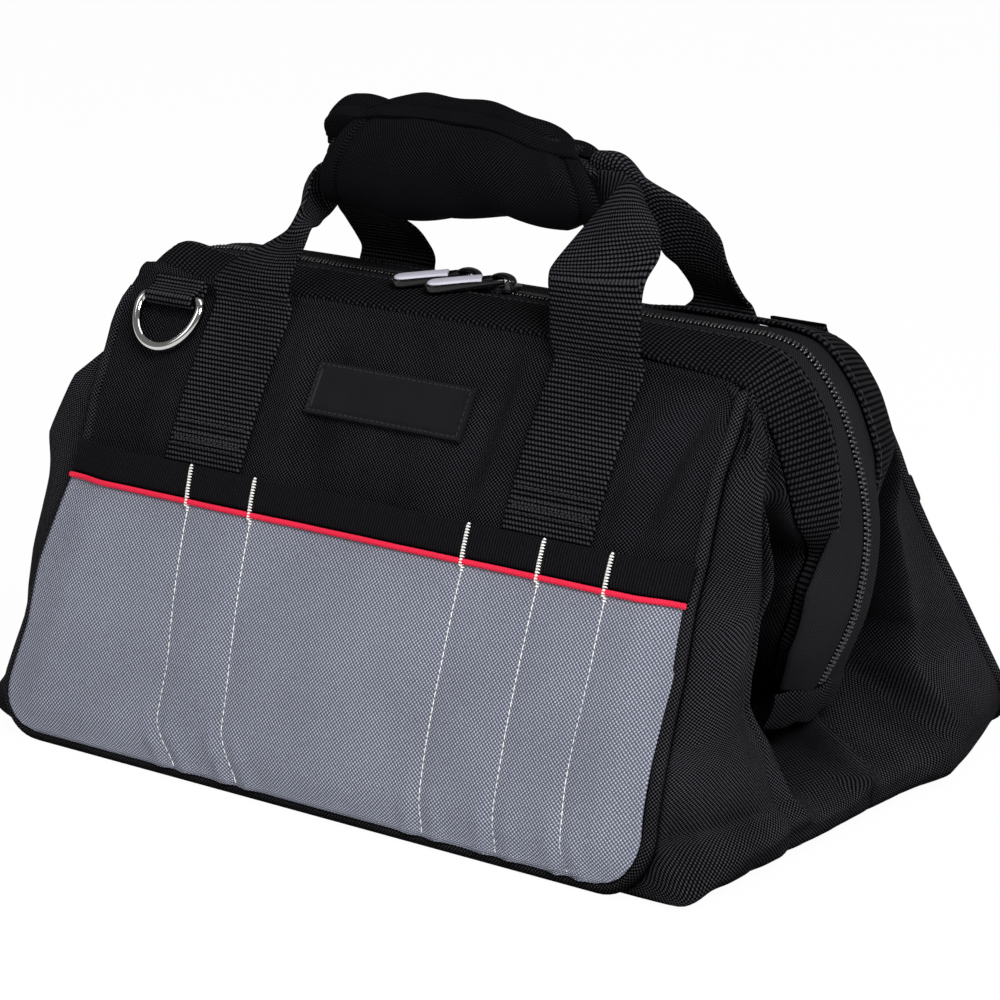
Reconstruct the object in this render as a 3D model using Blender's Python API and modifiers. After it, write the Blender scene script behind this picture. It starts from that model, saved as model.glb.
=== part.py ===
"""A wide-mouth tool bag with a wrapped carry handle.

Metres, +Z up. The origin is on the floor at the middle of the base, +X runs along the
bag's length to its right end, and -Y is the front, where the pockets and the label are.
The front and rear walls stand on a stiff base and lean together at the zipper, which
runs over the top and part of the way down both ends. Each wall, with its half of the
zipper and of the two end gussets, tilts outwards about its bottom edge.
"""

import math

import bmesh
import bpy
from mathutils import Matrix, Vector

# Overall sizes of the bag

BASE_LENGTH = 0.317
BASE_WIDTH = 0.216
PANEL_HEIGHT = 0.162
TOP_LENGTH = 0.298
TOP_WIDTH = 0.064
CORNER_RADIUS = 0.022
TOP_CORNER_RADIUS = 0.008
FRONT_BULGE_SHARE = 0.5
REAR_BULGE_SHARE = 0.0

# Fabric thicknesses and the air between touching pieces

CLEARANCE = 0.0003
WALL_THICKNESS = 0.002
GUSSET_THICKNESS = 0.0016
WALL_INSET = 0.0008
WALL_TRIM = 0.0009
GUSSET_TRIM = 0.0012
PIPING_RADIUS = 0.0022
PIPING_TOP = PANEL_HEIGHT - 0.0175

# Base

BASE_THICKNESS = 0.0016
BOARD_THICKNESS = 0.003
BOARD_MARGIN = 0.007

# Zipper: the line that it follows, its tape, its coil and the webbing beside it. Insets
# are from the furthest reach, and drops from the straight top

ZIPPER_RISE = 0.008
ZIPPER_OVERHANG = 0.0215
ZIPPER_TOP = PANEL_HEIGHT + ZIPPER_RISE
ZIPPER_REACH = TOP_LENGTH / 2 + ZIPPER_OVERHANG
STRAIGHT_INSET = 0.0405
SHOULDER_INSET = 0.023
SHOULDER_DROP = 0.0045
UPPER_INSET = 0.008
UPPER_DROP = 0.0245
REACH_DROP = 0.059
LOWER_INSET = 0.006
LOWER_RISE = 0.031
END_INSET = 0.0255
ZIPPER_END_HEIGHT = 0.046
ZIPPER_STRAIGHT = ZIPPER_REACH - STRAIGHT_INSET
COIL_GAP = 0.0006
COIL_WIDTH = 0.0028
COIL_HEIGHT = 0.0024
TAPE_THICKNESS = 0.0010
TAPE_EDGE = 0.0098
BAND_THICKNESS = 0.0016
BAND_OUTER = 0.0284
BAND_DROP = 0.0080
TAB_LENGTH = 0.009
TAB_THICKNESS = 0.0032
TAB_GAP = 0.0030

# Sliders and pulls

SLIDER_LENGTH = 0.013
SLIDER_WIDTH = 0.0085
SLIDER_PLATE = 0.0013
SLIDER_CORNER = 0.0004
SLIDER_POST_LENGTH = 0.004
SLIDER_POST_WIDTH = 0.0005
CROWN_SPAN = 0.0090
CROWN_WIDTH = 0.0024
CROWN_ROOM = 0.0034
CROWN_THICKNESS = 0.0010
CROWN_SQUARENESS_SHARE = 0.6
LEFT_SLIDER_X = -0.008
RIGHT_SLIDER_X = 0.0085
LEFT_PULL_TURN = math.radians(38)
RIGHT_PULL_TURN = math.radians(39)
PULL_LENGTH = 0.0280
PULL_WIDTH = 0.0094
PULL_THICKNESS = 0.0022
PULL_SLOT = 0.0052
PULL_ARM = 0.0010
PULL_BAR_RADIUS = 0.0009
PULL_DROOP = math.radians(3)
INSERT_LENGTH = 0.0180
INSERT_WIDTH = 0.0070
INSERT_THICKNESS = 0.0008
INSERT_MARGIN = 0.0012
INSERT_ROUND = 0.0024

# Pockets

POCKET_THICKNESS = 0.0010
POCKET_HEIGHT = 0.0945
POCKET_SIDE_BLEND = 0.024
POCKET_FOOT_BLEND = 0.012
POCKET_PUFF = 0.0022
POCKET_CORD_RADIUS = 0.0009
POCKET_CORD_Z = POCKET_HEIGHT + 0.0012
BINDING_FOOT = POCKET_CORD_Z + 0.0021
BINDING_HEIGHT = 0.0100
BINDING_THICKNESS = 0.0020
STITCH_PLACES = (-0.086, -0.053, 0.050, 0.086, 0.1165)

# Handle straps

STRAP_WIDTH = 0.040
STRAP_THICKNESS = 0.0016
STRAP_X = 0.085
STRAP_FOOT = 0.014
STITCH_TOP = BINDING_FOOT + BINDING_HEIGHT + 0.0112

# Grip

GRIP_CENTRE_X = -0.005
GRIP_HALF_LENGTH = 0.067
GRIP_CENTRE_Z = PANEL_HEIGHT + 0.0538
GRIP_ARCH = 0.0060
GRIP_RADIUS = 0.0210
GRIP_LEFT_RADIUS = 0.0203
GRIP_RIGHT_RADIUS = 0.0157
LEFT_FULLNESS = 4
RIGHT_TAPER = 1.4
CORE_RADIUS = 0.0090
CORE_SHORTER = 0.004
TONGUE_RADIUS = 0.0122
STRIP_THICKNESS = 0.0007
STRIP_SHORTER = 0.012
SEAM_TOP_ANGLE = math.radians(120)
SEAM_FOOT_ANGLE = math.radians(-59)
TONGUE_ANGLE = math.radians(84)
SEAM_HALF_ANGLE = math.radians(1)
STRIP_SETBACK = math.radians(5)

# Carry rings and their webbing loops

RING_X = TOP_LENGTH / 2 - 0.0240
RING_WIDTH = 0.0355
RING_DROP = 0.0215
RING_WIRE = 0.0019
RING_CORNER = 0.004
RING_BAR_HEIGHT = PANEL_HEIGHT - 0.0045
LOOP_WIDTH = 0.025
LOOP_THICKNESS = 0.0014
LOOP_TOP = PANEL_HEIGHT + 0.004

# Label patch

LABEL_X = -0.0055
LABEL_Z = PANEL_HEIGHT - 0.0235
LABEL_WIDTH = 0.0765
LABEL_HEIGHT = 0.0205
LABEL_THICKNESS = 0.0018
LABEL_BORDER = 0.0016
LABEL_RELIEF = 0.0005
LABEL_ROUND = 0.0010

# Mesh fineness

ARC_STEPS = 5
UP_STEPS = 8
PANEL_COLUMNS = 8
POCKET_COLUMNS = 22
GUSSET_COLUMNS = 10
GUSSET_LOWER_STEPS = 8
GUSSET_UPPER_STEPS = 9
CORE_STEPS = 8
TONGUE_STEPS = 3
RING_CORNER_STEPS = 3
RING_BOW_STEPS = 16
LOOP_STEPS = 8
STRAP_STEPS = 6
STRAP_WALL_STEPS = 4
STRAP_COLUMNS = 4
CROWN_STEPS = 8
TAB_STEPS = 6
ROUND_SIDES = 20
ZIPPER_TOP_STEPS = 12
ZIPPER_END_STEPS = 5
GRIP_STATIONS = 10
GRIP_ARC_STEPS = 12
SLOPE_STEPS = 100

FRONT = -1
REAR = 1
WALL_NAMES = {FRONT: "front", REAR: "rear"}
END_NAMES = {-1: "left", 1: "right"}


def clear_scene():
    for obj in list(bpy.data.objects):
        bpy.data.objects.remove(obj, do_unlink=True)


def new_collection(name):
    collection = bpy.data.collections.new(name)
    bpy.context.scene.collection.children.link(collection)
    return collection


def new_material(name, colour, roughness, metallic=0.0):
    material = bpy.data.materials.new(name)
    material.use_nodes = True
    shader = material.node_tree.nodes["Principled BSDF"]
    shader.inputs["Base Color"].default_value = (*colour, 1.0)
    shader.inputs["Roughness"].default_value = roughness
    shader.inputs["Metallic"].default_value = metallic
    return material


clear_scene()
BAG = new_collection("tool_bag")
CUTTERS = new_collection("cutters")
BLACK_FABRIC = new_material("black_fabric", (0.018, 0.018, 0.021), 0.85)
GREY_FABRIC = new_material("grey_fabric", (0.22, 0.235, 0.27), 0.85)
WEBBING = new_material("black_webbing", (0.015, 0.015, 0.017), 0.75)
RED_CORD = new_material("red_cord", (0.75, 0.03, 0.08), 0.6)
COIL_PLASTIC = new_material("coil_plastic", (0.02, 0.02, 0.022), 0.4)
BLACK_METAL = new_material("black_metal", (0.012, 0.012, 0.014), 0.15, 0.6)
GREY_RUBBER = new_material("grey_rubber", (0.36, 0.35, 0.42), 0.6)
NICKEL = new_material("nickel", (0.8, 0.8, 0.8), 0.15, 1.0)
LABEL_RUBBER = new_material("label_rubber", (0.012, 0.012, 0.013), 0.55)
BOARD = new_material("stiffener_board", (0.12, 0.12, 0.12), 0.7)


# Bodies: each moving body has an empty on its joint's axis, and its pieces hang from it


def new_body(name, place, parent=None):
    empty = bpy.data.objects.new(name + "_pivot", None)
    empty.empty_display_size = CORNER_RADIUS
    BAG.objects.link(empty)
    empty.parent = parent
    origin = Vector(place)
    empty.location = origin - (world_place(parent) if parent else Vector())
    return empty


def world_place(empty):
    place = Vector(empty.location)
    while empty.parent:
        empty = empty.parent
        place += empty.location
    return place


def attach(obj, body, material):
    """Hangs an object whose mesh is in world places from its body's empty."""
    BAG.objects.link(obj)
    obj.data.materials.append(material)
    obj.parent = body
    obj.data.transform(Matrix.Translation(-world_place(body)))
    return obj


def mesh_from(name, build):
    """A mesh object that build fills, given an empty bmesh."""
    mesh = bpy.data.meshes.new(name)
    bm = bmesh.new()
    build(bm)
    bm.to_mesh(mesh)
    bm.free()
    return bpy.data.objects.new(name, mesh)


def smooth(obj, angle=math.radians(40)):
    obj.data.shade_smooth()
    obj.data.set_sharp_from_angle(angle=angle)


def sheet(name, rows, thickness, body, material, flipped=False):
    """A fabric layer: an open grid whose outer side is given, thickened inwards."""

    def build(bm):
        grid = [[bm.verts.new(point) for point in row] for row in rows]
        for lower, upper in zip(grid, grid[1:]):
            for i in range(len(lower) - 1):
                corners = [lower[i], lower[i + 1], upper[i + 1], upper[i]]
                bm.faces.new(corners[::-1] if flipped else corners)

    obj = attach(mesh_from(name, build), body, material)
    solidify = obj.modifiers.new("thickness", "SOLIDIFY")
    solidify.thickness = thickness
    solidify.offset = -1.0
    smooth(obj)
    return obj


def loft(name, rings, body, material):
    """A solid through closed sections of equal point counts, capped at both ends."""

    def build(bm):
        loops = [[bm.verts.new(point) for point in ring] for ring in rings]
        count = len(loops[0])
        for near, far in zip(loops, loops[1:]):
            for i in range(count):
                j = (i + 1) % count
                bm.faces.new((near[i], near[j], far[j], far[i]))
        bm.faces.new(loops[0][::-1])
        bm.faces.new(loops[-1])
        bmesh.ops.recalc_face_normals(bm, faces=bm.faces)

    obj = attach(mesh_from(name, build), body, material)
    smooth(obj)
    return obj


def tube(name, points, radius, sides_resolution, body, material, closed=False):
    """A round cord or wire through the given points."""
    curve = bpy.data.curves.new(name, "CURVE")
    curve.dimensions = "3D"
    curve.bevel_depth = radius
    curve.bevel_resolution = sides_resolution
    curve.use_fill_caps = True
    spline = curve.splines.new("POLY")
    spline.points.add(len(points) - 1)
    origin = world_place(body)
    for spot, point in zip(spline.points, points):
        spot.co = (*(Vector(point) - origin), 1.0)
    spline.use_cyclic_u = closed
    spline.use_smooth = True
    obj = bpy.data.objects.new(name, curve)
    BAG.objects.link(obj)
    obj.data.materials.append(material)
    obj.parent = body
    return obj


def box_mesh(bm, size, centre):
    found = bmesh.ops.create_cube(bm, size=1.0)
    bmesh.ops.scale(bm, vec=Vector(size), verts=found["verts"])
    bmesh.ops.translate(bm, vec=Vector(centre), verts=found["verts"])
    return found["verts"]


# Shape of the walls


def smoothstep(share):
    share = min(1.0, max(0.0, share))
    return share * share * (3.0 - 2.0 * share)


def wall_y(z, wall):
    """How far the wall's outer seam line is from the middle plane at a height."""
    share = z / PANEL_HEIGHT
    bulge = FRONT_BULGE_SHARE if wall == FRONT else REAR_BULGE_SHARE
    leaned = share + bulge * share * (share - 1.0)
    return BASE_WIDTH / 2 + (TOP_WIDTH - BASE_WIDTH) / 2 * leaned


def half_length(z):
    """Half the bag's length at a height above its bottom corners."""
    share = max(0.0, (z - CORNER_RADIUS) / (PANEL_HEIGHT - CORNER_RADIUS))
    return BASE_LENGTH / 2 + (TOP_LENGTH - BASE_LENGTH) / 2 * share


FLAT_HALF_LENGTH = BASE_LENGTH / 2 - CORNER_RADIUS
SEAM_ALLOWANCE = 2 * PIPING_RADIUS + CLEARANCE


def seam_outline(inset, top):
    """The wall's right-hand outline from the base round the corner and up, as (x, z)."""
    radius = CORNER_RADIUS - inset
    points = []
    for i in range(ARC_STEPS + 1):
        angle = i / ARC_STEPS * math.pi / 2
        x = FLAT_HALF_LENGTH + radius * math.sin(angle)
        points.append((x, CORNER_RADIUS - radius * math.cos(angle)))
    for i in range(1, UP_STEPS + 1):
        z = CORNER_RADIUS + (top - CORNER_RADIUS) * i / UP_STEPS
        points.append((half_length(z) - inset, z))
    return points


def wall_slope(z, wall):
    """Unit vectors (y, z) up the wall and out of it at a height."""
    step = PANEL_HEIGHT / SLOPE_STEPS
    rise = Vector((wall * (wall_y(z + step, wall) - wall_y(z, wall)), step)).normalized()
    out = Vector((wall * rise.y, -wall * rise.x))
    return rise, out


def slant(z, wall):
    """How much longer a distance square to the wall is when measured along Y."""
    rise, _ = wall_slope(z, wall)
    return 1.0 / rise.y


def wall_surface(x, z, wall, stand_off=0.0):
    """A point on the wall's outer side, or off it by a distance square to the wall."""
    return (x, wall * (wall_y(z, wall) - WALL_INSET + stand_off * slant(z, wall)), z)


def piping_y(z, wall):
    """How far the middle of the wall's piping is from the middle plane at a height."""
    return wall_y(z, wall) - PIPING_RADIUS


def behind_piping_y(z, wall):
    """The edge of the layers that meet the piping from the inside of the bag."""
    return piping_y(z, wall) - PIPING_RADIUS * slant(z, wall) - GUSSET_TRIM


def wall_rows(top, columns, stand_off, wall, trim_top=False):
    """Rows of a layer that fills the wall's outline inside the piping, up to a height."""
    rows = []
    for limit, z in seam_outline(SEAM_ALLOWANCE + WALL_TRIM, top):
        if trim_top:
            over = z - (PANEL_HEIGHT - TOP_CORNER_RADIUS)
            if over > 0.0:
                rest = max(0.0, TOP_CORNER_RADIUS**2 - over**2)
                limit -= TOP_CORNER_RADIUS - math.sqrt(rest)
        places = [limit * (2 * i / columns - 1) for i in range(columns + 1)]
        rows.append([wall_surface(x, z, wall, stand_off(x, z)) for x in places])
    return rows


def make_wall(wall, body):
    name = WALL_NAMES[wall]
    rows = wall_rows(PANEL_HEIGHT, PANEL_COLUMNS, lambda x, z: 0.0, wall, trim_top=True)
    sheet(name + "_panel", rows, WALL_THICKNESS, body, BLACK_FABRIC, flipped=wall == REAR)


def make_piping(wall, body):
    right = [
        (x, wall * piping_y(z, wall), z)
        for x, z in seam_outline(PIPING_RADIUS, PIPING_TOP)
    ]
    left = [(-x, y, z) for x, y, z in right]
    points = left[::-1] + right
    tube(WALL_NAMES[wall] + "_seam_piping", points, PIPING_RADIUS, 1, body, BLACK_FABRIC)


# Pockets: one grey panel a wall, stitched into fields, with a bound mouth and a red cord

STRAP_STAND_OFF = STRAP_THICKNESS + 2 * CLEARANCE


def pocket_lift(x, z):
    """How far the pocket's inner side stands off the wall, leaving out the puff."""
    side_room = half_length(z) - SEAM_ALLOWANCE - abs(x)
    side = smoothstep(side_room / POCKET_SIDE_BLEND)
    foot = smoothstep((z - SEAM_ALLOWANCE) / POCKET_FOOT_BLEND)
    return CLEARANCE + STRAP_STAND_OFF * side * foot


def pocket_puff(x, z):
    """The soft bulge of each field between its rows of stitches."""
    edge = half_length(z) - SEAM_ALLOWANCE
    places = (-edge, *STITCH_PLACES, edge)
    for near, far in zip(places, places[1:]):
        if near <= x <= far:
            across = math.sin(math.pi * (x - near) / (far - near))
            up = math.sin(math.pi * min(1.0, z / POCKET_HEIGHT))
            return POCKET_PUFF * across * up
    return 0.0


def make_pocket(wall, body):
    name = WALL_NAMES[wall]
    facing = -wall

    def pocket_face(x, z):
        return pocket_lift(x, z) + pocket_puff(facing * x, z) + POCKET_THICKNESS

    rows = wall_rows(POCKET_HEIGHT, POCKET_COLUMNS, pocket_face, wall)
    grey = sheet(name + "_pocket", rows, POCKET_THICKNESS, body, GREY_FABRIC, wall == REAR)

    def binding_face(x, z):
        return pocket_lift(x, z) + BINDING_THICKNESS

    rows = []
    for z in (BINDING_FOOT, BINDING_FOOT + BINDING_HEIGHT / 2, BINDING_FOOT + BINDING_HEIGHT):
        limit = half_length(z) - SEAM_ALLOWANCE
        places = [limit * (2 * i / PANEL_COLUMNS - 1) for i in range(PANEL_COLUMNS + 1)]
        rows.append([wall_surface(x, z, wall, binding_face(x, z)) for x in places])
    sheet(name + "_pocket_binding", rows, BINDING_THICKNESS, body, WEBBING, wall == REAR)

    limit = half_length(POCKET_CORD_Z) - SEAM_ALLOWANCE
    places = [limit * (2 * i / PANEL_COLUMNS - 1) for i in range(PANEL_COLUMNS + 1)]
    line = [
        wall_surface(x, POCKET_CORD_Z, wall, pocket_lift(x, POCKET_CORD_Z) + POCKET_CORD_RADIUS)
        for x in places
    ]
    tube(name + "_pocket_cord", line, POCKET_CORD_RADIUS, 1, body, RED_CORD)
    return grey


# Zipper line: a straight top, then a stiff arc down each end that ends turned inwards


def catmull_rom(points, steps):
    """Points of a smooth curve through the given ones; the ends are doubled."""
    padded = [points[0], *points, points[-1]]
    line = []
    for a, b, c, d in zip(padded, padded[1:], padded[2:], padded[3:]):
        for i in range(steps):
            t = i / steps
            line.append(
                tuple(
                    0.5
                    * (
                        2 * q
                        + (r - p) * t
                        + (2 * p - 5 * q + 4 * r - s) * t * t
                        + (3 * q - p - 3 * r + s) * t**3
                    )
                    for p, q, r, s in zip(a, b, c, d)
                )
            )
    line.append(tuple(points[-1]))
    return line


def zipper_line():
    """The zipper's middle line from the right end's foot over the top to the left's, with
    the outward normal at each point, as (x, z, nx, nz)."""
    end = catmull_rom(
        [
            (ZIPPER_STRAIGHT, ZIPPER_TOP),
            (ZIPPER_REACH - SHOULDER_INSET, ZIPPER_TOP - SHOULDER_DROP),
            (ZIPPER_REACH - UPPER_INSET, ZIPPER_TOP - UPPER_DROP),
            (ZIPPER_REACH, ZIPPER_TOP - REACH_DROP),
            (ZIPPER_REACH - LOWER_INSET, ZIPPER_END_HEIGHT + LOWER_RISE),
            (ZIPPER_REACH - END_INSET, ZIPPER_END_HEIGHT),
        ],
        ZIPPER_END_STEPS,
    )
    top = [
        (ZIPPER_STRAIGHT * (1 - 2 * i / ZIPPER_TOP_STEPS), ZIPPER_TOP)
        for i in range(1, ZIPPER_TOP_STEPS)
    ]
    points = end[::-1] + top + [(-x, z) for x, z in end]
    line = []
    for i, (x, z) in enumerate(points):
        before = points[max(0, i - 1)]
        after = points[min(len(points) - 1, i + 1)]
        along = Vector((after[0] - before[0], after[1] - before[1])).normalized()
        line.append((x, z, -along.y * -1.0, along.x * -1.0))
    return line


def on_zipper(station, lateral, height, wall):
    """A point beside the zipper line: lateral from the middle plane, height outwards."""
    x, z, nx, nz = station
    return (x + nx * height, wall * lateral, z + nz * height)


ZIPPER = zipper_line()


def make_zipper(wall, body):
    name = WALL_NAMES[wall]
    half_tape = TAPE_THICKNESS / 2
    half_coil = COIL_HEIGHT / 2
    coil_edge = COIL_GAP + COIL_WIDTH
    section = (
        (COIL_GAP, -half_coil),
        (coil_edge, -half_coil),
        (coil_edge + half_tape, -half_tape),
        (TAPE_EDGE, -half_tape),
        (TAPE_EDGE, half_tape),
        (coil_edge + half_tape, half_tape),
        (coil_edge, half_coil),
        (COIL_GAP, half_coil),
    )
    rings = [[on_zipper(s, lateral, up, wall) for lateral, up in section] for s in ZIPPER]
    loft(name + "_zipper_tape", rings, body, COIL_PLASTIC)

    inner = TAPE_EDGE + CLEARANCE
    half_band = BAND_THICKNESS / 2
    section = (
        (inner, -half_band),
        ((inner + BAND_OUTER) / 2, -half_band - BAND_DROP / 2),
        (BAND_OUTER, -half_band - BAND_DROP),
        (BAND_OUTER, half_band - BAND_DROP),
        ((inner + BAND_OUTER) / 2, half_band - BAND_DROP / 2),
        (inner, half_band),
    )
    rings = [[on_zipper(s, lateral, up, wall) for lateral, up in section] for s in ZIPPER]
    loft(name + "_zipper_band", rings, body, WEBBING)


def tab_frame(end):
    """The zipper line's foot at an end, and the unit vectors down along it and outwards."""
    x, z, nx, nz = ZIPPER[0]
    foot = Vector((end * x, z))
    out = Vector((end * nx, nz))
    down = Vector((-end * abs(out.y), -abs(out.x)))
    return foot, down, out


def make_zipper_tab(end, body):
    """The folded fabric end that closes the foot of the zipper across both tapes."""
    foot, down, out = tab_frame(end)
    rings = []
    for i in range(TAB_STEPS + 1):
        side = 2 * i / TAB_STEPS - 1
        lateral = BAND_OUTER * side
        drop = BAND_DROP * abs(side)
        ring = []
        for along, up in ((0, 0), (1, 0), (1, 1), (0, 1)):
            spot = foot + down * (CLEARANCE + TAB_LENGTH * along)
            spot = spot + out * (TAB_THICKNESS * (up - 0.5) - drop)
            ring.append((spot.x, lateral, spot.y))
        rings.append(ring)
    loft(END_NAMES[end] + "_zipper_tab", rings, body, BLACK_FABRIC)


# End gussets: each half runs from the wall's piping, in a fold, to the zipper's webbing

GUSSET_BULGE = 0.0105
REAR_BULGE = 0.0070
GUSSET_RECESS = 0.0150
REAR_RECESS = 0.0070
FOOT_REACH = BASE_LENGTH / 2 + 0.0150
FOOT_SWELL = 0.0060
FOLD_SHARE = 0.42
GUSSET_TOP = PANEL_HEIGHT - 0.0105
CENTRE_SEAM = CLEARANCE
GUSSET_BAND_EDGE = BAND_OUTER + CLEARANCE + GUSSET_THICKNESS


def gusset_wall_edge(z_share, end, wall):
    """The gusset's edge beside the piping, from the base seam up."""
    outline = seam_outline(WALL_INSET, GUSSET_TOP)
    place = z_share * (len(outline) - 1)
    i = min(int(place), len(outline) - 2)
    t = place - i
    x = outline[i][0] * (1 - t) + outline[i + 1][0] * t
    z = outline[i][1] * (1 - t) + outline[i + 1][1] * t
    return Vector((end * x, wall * behind_piping_y(z, wall), z))


# Where the centre seam passes on its way out along the ground and up to the tab, as shares
# of the reach past the base panel and of the wall's corner radius
CENTRE_SEAM_SHARES = ((0.62, 0.02), (1.00, 0.27), (0.93, 0.75))


def lower_middle_edge(share, end, wall):
    """The centre seam of the end, from the base up to below the zipper's tab."""
    foot, down, out = tab_frame(1)
    under_tab = foot + down * (TAB_LENGTH + TAB_GAP) + out * (GUSSET_THICKNESS / 2)
    reach = FOOT_REACH - FLAT_HALF_LENGTH
    points = [(FLAT_HALF_LENGTH, WALL_INSET)]
    for along, up in CENTRE_SEAM_SHARES:
        points.append((FLAT_HALF_LENGTH + reach * along, WALL_INSET + CORNER_RADIUS * up))
    points.append((under_tab.x, under_tab.y))
    line = catmull_rom(points, ARC_STEPS)
    place = share * (len(line) - 1)
    i = min(int(place), len(line) - 2)
    t = place - i
    x = line[i][0] * (1 - t) + line[i + 1][0] * t
    z = line[i][1] * (1 - t) + line[i + 1][1] * t
    return Vector((end * x, wall * CENTRE_SEAM, z))


def upper_band_edge(share, end, wall):
    """The edge beside the zipper's webbing, from the tab up to the top corner."""
    last = ZIPPER_END_STEPS * 4
    place = share * last
    i = min(int(place), last - 1)
    t = place - i
    near = Vector(on_zipper(ZIPPER[i], GUSSET_BAND_EDGE, -BAND_DROP, wall))
    far = Vector(on_zipper(ZIPPER[i + 1], GUSSET_BAND_EDGE, -BAND_DROP, wall))
    spot = near.lerp(far, t)
    return Vector((end * spot.x, spot.y, spot.z))


# How the fold's depth starts beside the tab, grows over a first part of the way up, and
# fades over the last part; and how many of the edge's steps lie below the tab and beside it
FOLD_START_SHARE = 0.55
FOLD_GROW_SHARE = 0.25
FOLD_FOOT_SHARE = 0.5
FOOT_SWELL_SHARE = 0.4
FOOT_FADE_SHARE = 0.6
FOOT_SQUARE_SHARES = (2.4, 0.30, 0.45)
FOLD_FADE_START_SHARE = 0.6
FOLD_FADE_SHARE = 0.75
TAB_STEP_SHARES = (1.3, 0.6)
TAB_TUCK_SHARE = 0.8


def foot_squareness(share):
    """How sharply the foot leaves the piping: most on the ground, none below the tab."""
    power, start, run = FOOT_SQUARE_SHARES
    return 1.0 + (power - 1.0) * (1.0 - smoothstep((share - start) / run))


def gusset_rows(end, wall):
    lower_steps = GUSSET_LOWER_STEPS
    upper_steps = GUSSET_UPPER_STEPS
    recess = GUSSET_RECESS if wall == FRONT else REAR_RECESS
    bulge = GUSSET_BULGE if wall == FRONT else REAR_BULGE
    lower_top_share = (ARC_STEPS + TAB_STEP_SHARES[0]) / (ARC_STEPS + UP_STEPS)
    rows = []
    for i in range(lower_steps + 1):
        share = i / lower_steps
        outer = gusset_wall_edge(share * lower_top_share, end, wall)
        inner = lower_middle_edge(share, end, wall)
        fold = FOLD_START_SHARE * smoothstep((share - FOLD_FOOT_SHARE) / FOLD_FOOT_SHARE)
        swell = FOOT_SWELL * smoothstep(share / FOOT_SWELL_SHARE)
        rows.append((outer, inner, fold, swell, foot_squareness(share)))
    step_share = lower_top_share + TAB_STEP_SHARES[1] / (ARC_STEPS + UP_STEPS)
    beside_tab = rows[-1][1].copy()
    beside_tab.y = wall * GUSSET_BAND_EDGE
    beside_tab.x -= end * BAND_DROP * TAB_TUCK_SHARE
    outer = gusset_wall_edge(step_share, end, wall)
    rows.append((outer, beside_tab, FOLD_START_SHARE, FOOT_SWELL, 1.0))
    for i in range(upper_steps + 1):
        share = i / upper_steps
        outer_share = step_share + (1 - step_share) * (i + 1) / (upper_steps + 1)
        outer = gusset_wall_edge(outer_share, end, wall)
        inner = upper_band_edge(share, end, wall)
        grown = smoothstep(share / FOLD_GROW_SHARE)
        strength = FOLD_START_SHARE + (1.0 - FOLD_START_SHARE) * grown
        fade = (share - FOLD_FADE_START_SHARE) / (1.0 - FOLD_FADE_START_SHARE)
        strength *= 1.0 - FOLD_FADE_SHARE * smoothstep(fade)
        swell = FOOT_SWELL * (1.0 - smoothstep(share / FOOT_FADE_SHARE))
        rows.append((outer, inner, strength, swell, 1.0))
    surface = []
    for outer, inner, strength, swell, squareness in rows:
        row = []
        for i in range(GUSSET_COLUMNS + 1):
            share = i / GUSSET_COLUMNS
            spot = outer.lerp(inner, 1.0 - (1.0 - share) ** squareness)
            spot.y = outer.y + (inner.y - outer.y) * share
            if share < FOLD_SHARE:
                push = bulge * math.sin(math.pi * share / FOLD_SHARE)
            else:
                push = -recess * math.sin(math.pi * (share - FOLD_SHARE) / (1 - FOLD_SHARE))
            spot.x += end * (push * strength + swell * math.sin(math.pi * share))
            row.append(tuple(spot))
        surface.append(row)
    return surface


def make_gusset(end, wall, body):
    name = WALL_NAMES[wall] + "_" + END_NAMES[end] + "_gusset"
    rows = gusset_rows(end, wall)
    sheet(name, rows, GUSSET_THICKNESS, body, BLACK_FABRIC, flipped=end * wall > 0)


# Base


def make_base(body):
    front = behind_piping_y(PIPING_RADIUS, FRONT)
    rear = behind_piping_y(PIPING_RADIUS, REAR)
    half_run = FLAT_HALF_LENGTH - CLEARANCE

    def slab(bm):
        size = (2 * half_run, front + rear, BASE_THICKNESS)
        box_mesh(bm, size, (0, (rear - front) / 2, BASE_THICKNESS / 2))

    attach(mesh_from("base_panel", slab), body, BLACK_FABRIC)

    def board(bm):
        half_width = min(front, rear) - BOARD_MARGIN
        size = (2 * (half_run - BOARD_MARGIN), 2 * half_width, BOARD_THICKNESS)
        box_mesh(bm, size, (0, 0, BASE_THICKNESS + CLEARANCE + BOARD_THICKNESS / 2))

    obj = attach(mesh_from("base_board", board), body, BOARD)
    bevel = obj.modifiers.new("corners", "BEVEL")
    bevel.width = BOARD_THICKNESS / 3
    bevel.segments = 2


# Handle straps


def make_stitched_strap(end, wall, body):
    rows = []
    for i in range(STRAP_STEPS + 1):
        z = STRAP_FOOT + (STITCH_TOP - CLEARANCE - STRAP_FOOT) * i / STRAP_STEPS
        places = [end * STRAP_X + STRAP_WIDTH * (j / 2 - 0.5) for j in range(3)]
        face = CLEARANCE + STRAP_THICKNESS
        rows.append([wall_surface(x, z, wall, face) for x in places])
    name = WALL_NAMES[wall] + "_" + END_NAMES[end] + "_strap_foot"
    sheet(name, rows, STRAP_THICKNESS, body, WEBBING, flipped=wall == REAR)


GRIP_ENDS = {-1: GRIP_CENTRE_X - GRIP_HALF_LENGTH, 1: GRIP_CENTRE_X + GRIP_HALF_LENGTH}
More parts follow.
